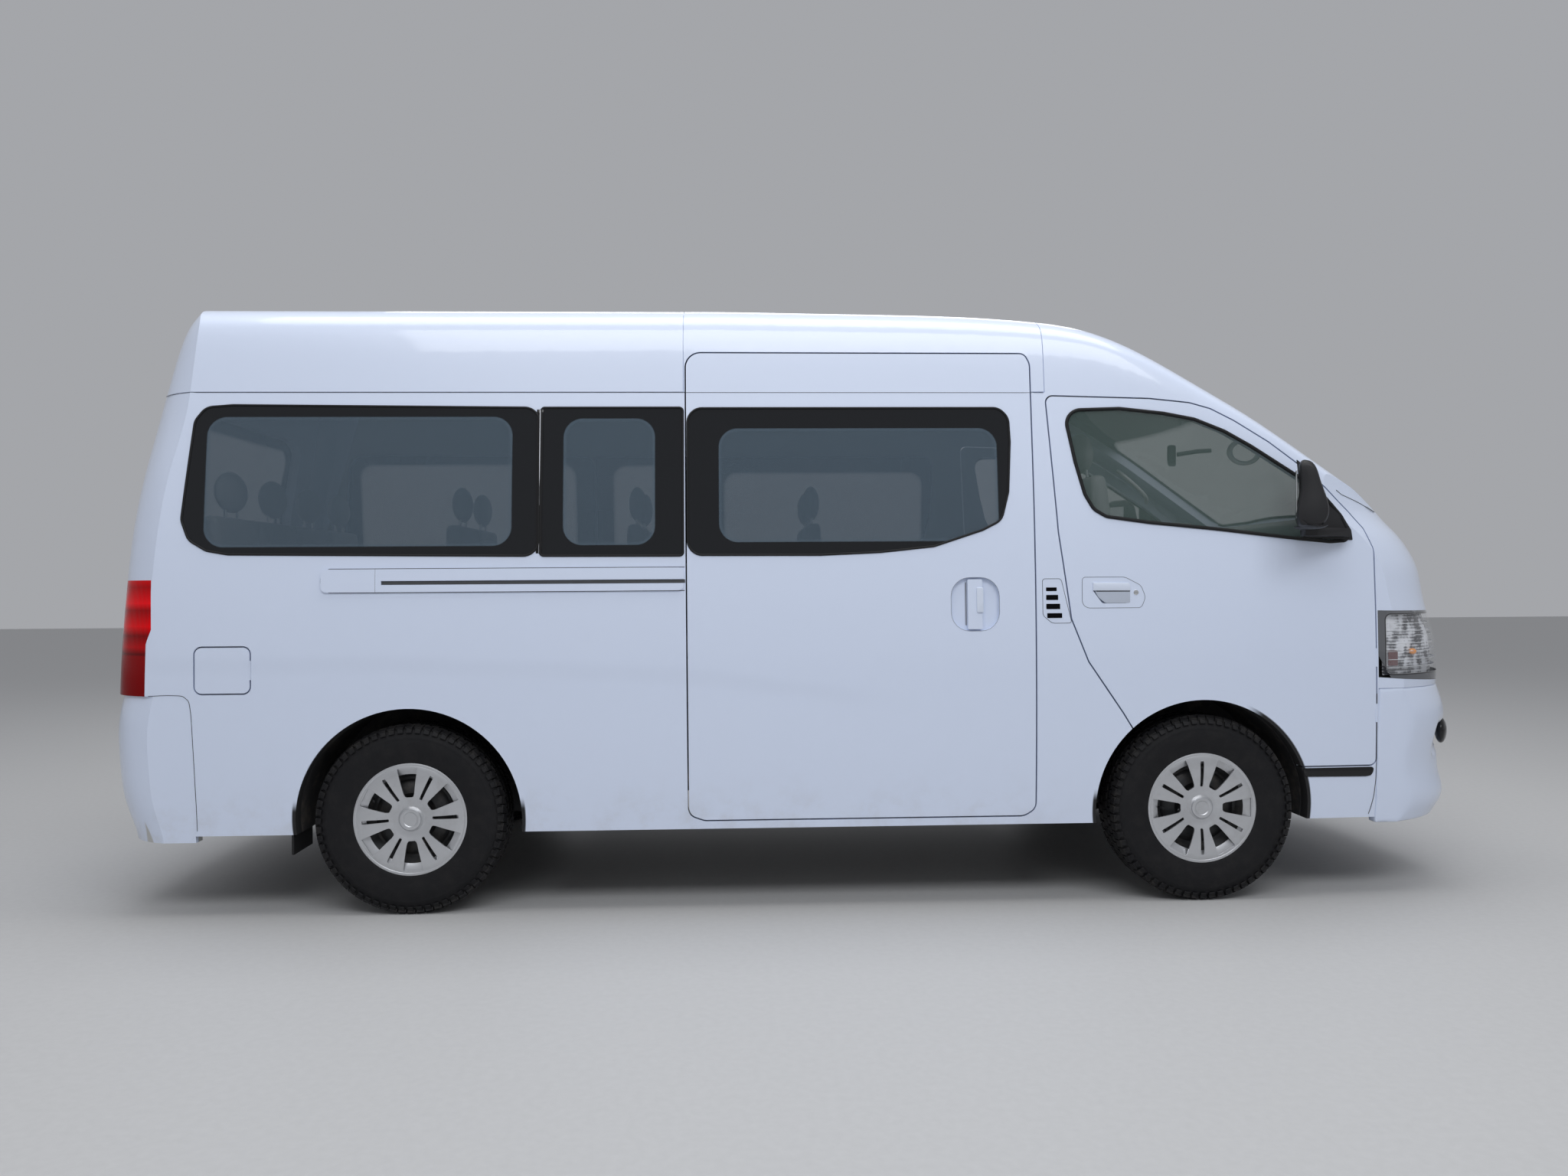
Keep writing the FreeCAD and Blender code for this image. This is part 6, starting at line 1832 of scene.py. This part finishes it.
@dataclass
class Studio:
    """The floor, the lamps and the camera at the photograph's place."""

    place: Point = (-0.2765, -5.2655, 1.2035)
    yaw: float = 0.04119
    pitch: float = -0.00461
    roll: float = -0.00677
    focal_share: float = 1538.0 / 2048.0
    sensor: float = 36.0

    def camera(self) -> Piece:
        """Sets the camera where the photograph was taken."""
        ahead = Vector(
            (
                math.sin(self.yaw) * math.cos(self.pitch),
                math.cos(self.yaw) * math.cos(self.pitch),
                math.sin(self.pitch),
            )
        )
        right = Vector((math.cos(self.yaw), -math.sin(self.yaw), 0.0))
        top = right.cross(ahead)
        right_rolled = right * math.cos(self.roll) + top * math.sin(self.roll)
        top_rolled = top * math.cos(self.roll) - right * math.sin(self.roll)
        Bench.clear()
        bpy.ops.object.camera_add(location=self.place)
        camera = bpy.context.view_layer.objects.active
        camera.name = "camera"
        turn = Matrix((right_rolled, top_rolled, -ahead)).transposed()
        camera.matrix_world = Matrix.Translation(Vector(self.place)) @ turn.to_4x4()
        camera.data.sensor_width = self.sensor
        camera.data.lens = self.sensor * self.focal_share
        camera.data.clip_end = 200.0
        bpy.context.scene.camera = camera
        return camera

    def lamp(self, name: str, place: Point, aim: Point, size: Pair, power: float, colour: Colour) -> None:
        """One soft rectangular lamp.

        Args:
            name: The lamp's name.
            place: Its middle.
            aim: The point that it looks at.
            size: Its width and height.
            power: Its power in watts.
            colour: Its colour.
        """
        Bench.clear()
        bpy.ops.object.light_add(type="AREA", location=place)
        lamp = bpy.context.view_layer.objects.active
        lamp.name = name
        lamp.data.shape = "RECTANGLE"
        lamp.data.size, lamp.data.size_y = size
        lamp.data.energy = power
        lamp.data.color = colour
        look = Vector(aim) - Vector(place)
        lamp.rotation_euler = look.to_track_quat("-Z", "Y").to_euler()

    def build(self) -> None:
        """Makes the floor, the lamps, the world and the camera."""
        Bench.clear()
        bpy.ops.mesh.primitive_plane_add(size=60.0, location=(0.0, 0.0, 0.0))
        floor = Bench.settle(Bench.named("floor"))
        shader = Shader("studio_floor")
        grain = shader.noise(shader.place(), 40.0, 4.0)
        shader.set(Base_Color=shader.mix(grain, (0.50, 0.50, 0.50), (0.56, 0.56, 0.56)), Roughness=0.55)
        floor.data.materials.append(shader.material)
        self.lamp("top_lamp", (0.0, -0.8, 6.0), (0.0, 0.0, 0.0), (7.0, 3.2), 175.0, (1.0, 1.0, 1.0))
        self.lamp("side_lamp", (0.5, -6.5, 6.6), (0.0, 0.0, 0.9), (8.0, 2.6), 270.0, (0.95, 0.97, 1.0))
        self.lamp("far_lamp", (0.0, 7.0, 6.0), (0.0, 0.0, 1.0), (8.0, 2.6), 130.0, (0.95, 0.97, 1.0))
        world = bpy.data.worlds.new("studio")
        bpy.context.scene.world = world
        world.use_nodes = True
        tree = world.node_tree
        back = tree.nodes["Background"]
        back.inputs[0].default_value = (0.93, 0.95, 1.0, 1.0)
        back.inputs[1].default_value = 0.40
        self.camera()
        view = bpy.context.scene.view_settings
        view.view_transform = "Standard"


@dataclass
class Shell:
    """The painted panels, the glass and the lamps that the CAD gives as they are."""

    frame: dict[str, Any]
    bumper_heights: Pair = (0.290, 0.778)
    bumper_voxel: float = 0.0075

    def finish_of(self, node: str) -> str:
        """The finish of a CAD node."""
        table = {
            "windscreen": "screen",
            "tailgate_glass": "gate_glass",
            "front_door_glass_right": "front_glass",
            "front_door_glass_left": "front_glass",
            "sliding_door_glass": "side_glass",
            "side_glass_right": "side_glass",
            "side_glass_left": "side_glass",
            "tail_lamps": "red",
            "headlamps": "housing",
            "grille": "plastic",
            "engine_block": "iron",
            "exhaust": "exhaust",
            "spare_wheel": "tyre",
            "floor_pan": "floor",
            "dashboard": "dash",
            "mud_flaps": "rubber",
            "steering_wheel": "dash",
            "steering_column": "dash",
            "mirror_right": "plastic",
            "mirror_left": "plastic",
            "propeller_shaft": "steel",
        }
        if node in table:
            return table[node]
        if node.startswith("tyre"):
            return "tyre"
        if node.startswith("wheel"):
            return "rim"
        if node.startswith("bench") or node == "front_seats":
            return "cloth"
        steel = ("chassis", "rear_axle", "front_suspension", "knuckle", "seat_frames", "fuel_tank")
        if node.startswith(steel):
            return "steel"
        return "paint"

    def round_bumper(self) -> None:
        """A copy of the front bumper whose upright creases become soft corners."""
        piece = Bench.copy_node("front_bumper", "front_bumper_skin")
        Bench.modify(piece, "REMESH", mode="VOXEL", voxel_size=self.bumper_voxel)
        corner = piece.vertex_groups.new(name="corner")
        low, high = self.bumper_heights
        for vertex in piece.data.vertices:
            x, y, z = vertex.co
            ramps = ((x - 2.19) / 0.05, (abs(y) - 0.60) / 0.06, (z - low) / 0.05, (high - z) / 0.05)
            weight = min(1.0, max(0.0, min(ramps)))
            if weight:
                corner.add([vertex.index], weight, "REPLACE")
        for rounds, group in ((3, ""), (70, corner.name)):
            Bench.modify(piece, "SMOOTH", factor=0.5, iterations=rounds, vertex_group=group)
        Bench.modify(piece, "DECIMATE", ratio=0.5)
        Bench.named(piece.name, "paint")
        bpy.ops.object.shade_smooth_by_angle(angle=math.radians(40))
        Bench.hang(piece, "root", "white_paint", "front_bumper")

    def build(self) -> None:
        """Gives each CAD node its finish and puts seals round the glass."""
        for node, item in self.frame["nodes"].items():
            item.data.materials.clear()
            item.data.materials.append(FINISHES[self.finish_of(node)])
        for seal in (
            Seal("front_door_glass_right", "front_door_right", Outward.RIGHT, 0.007),
            Seal("front_door_glass_left", "front_door_left", Outward.LEFT, 0.007),
            Seal("sliding_door_glass", "root", Outward.RIGHT),
            Seal("side_glass_right", "root", Outward.RIGHT),
            Seal("side_glass_left", "root", Outward.LEFT),
            Seal("windscreen", "root", Outward.AHEAD, 0.006),
            Seal("tailgate_glass", "tailgate", Outward.BEHIND),
        ):
            seal.build()
        self.round_bumper()


def main() -> None:
    """Builds the minibus over its frame."""
    global FINISHES
    logging.basicConfig(level=logging.INFO, format="%(message)s")
    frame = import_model()
    FINISHES = Finishes()
    Shell(frame).build()
    for name, end, side, slot in (
        ("front_right", 1, RIGHT, 30.0),
        ("front_left", 1, LEFT, 30.0),
        ("rear_right", -1, RIGHT, 3.0),
        ("rear_left", -1, LEFT, 3.0),
    ):
        Wheel(name, end, side, slot).build()
    SideTrim().build()
    DoorCorner().build()
    for side, word in SIDES:
        HeadLamp(side, word).build()
    Seats().build()
    Cabin().build()
    Studio().build()


if __name__ == "__main__":
    main()
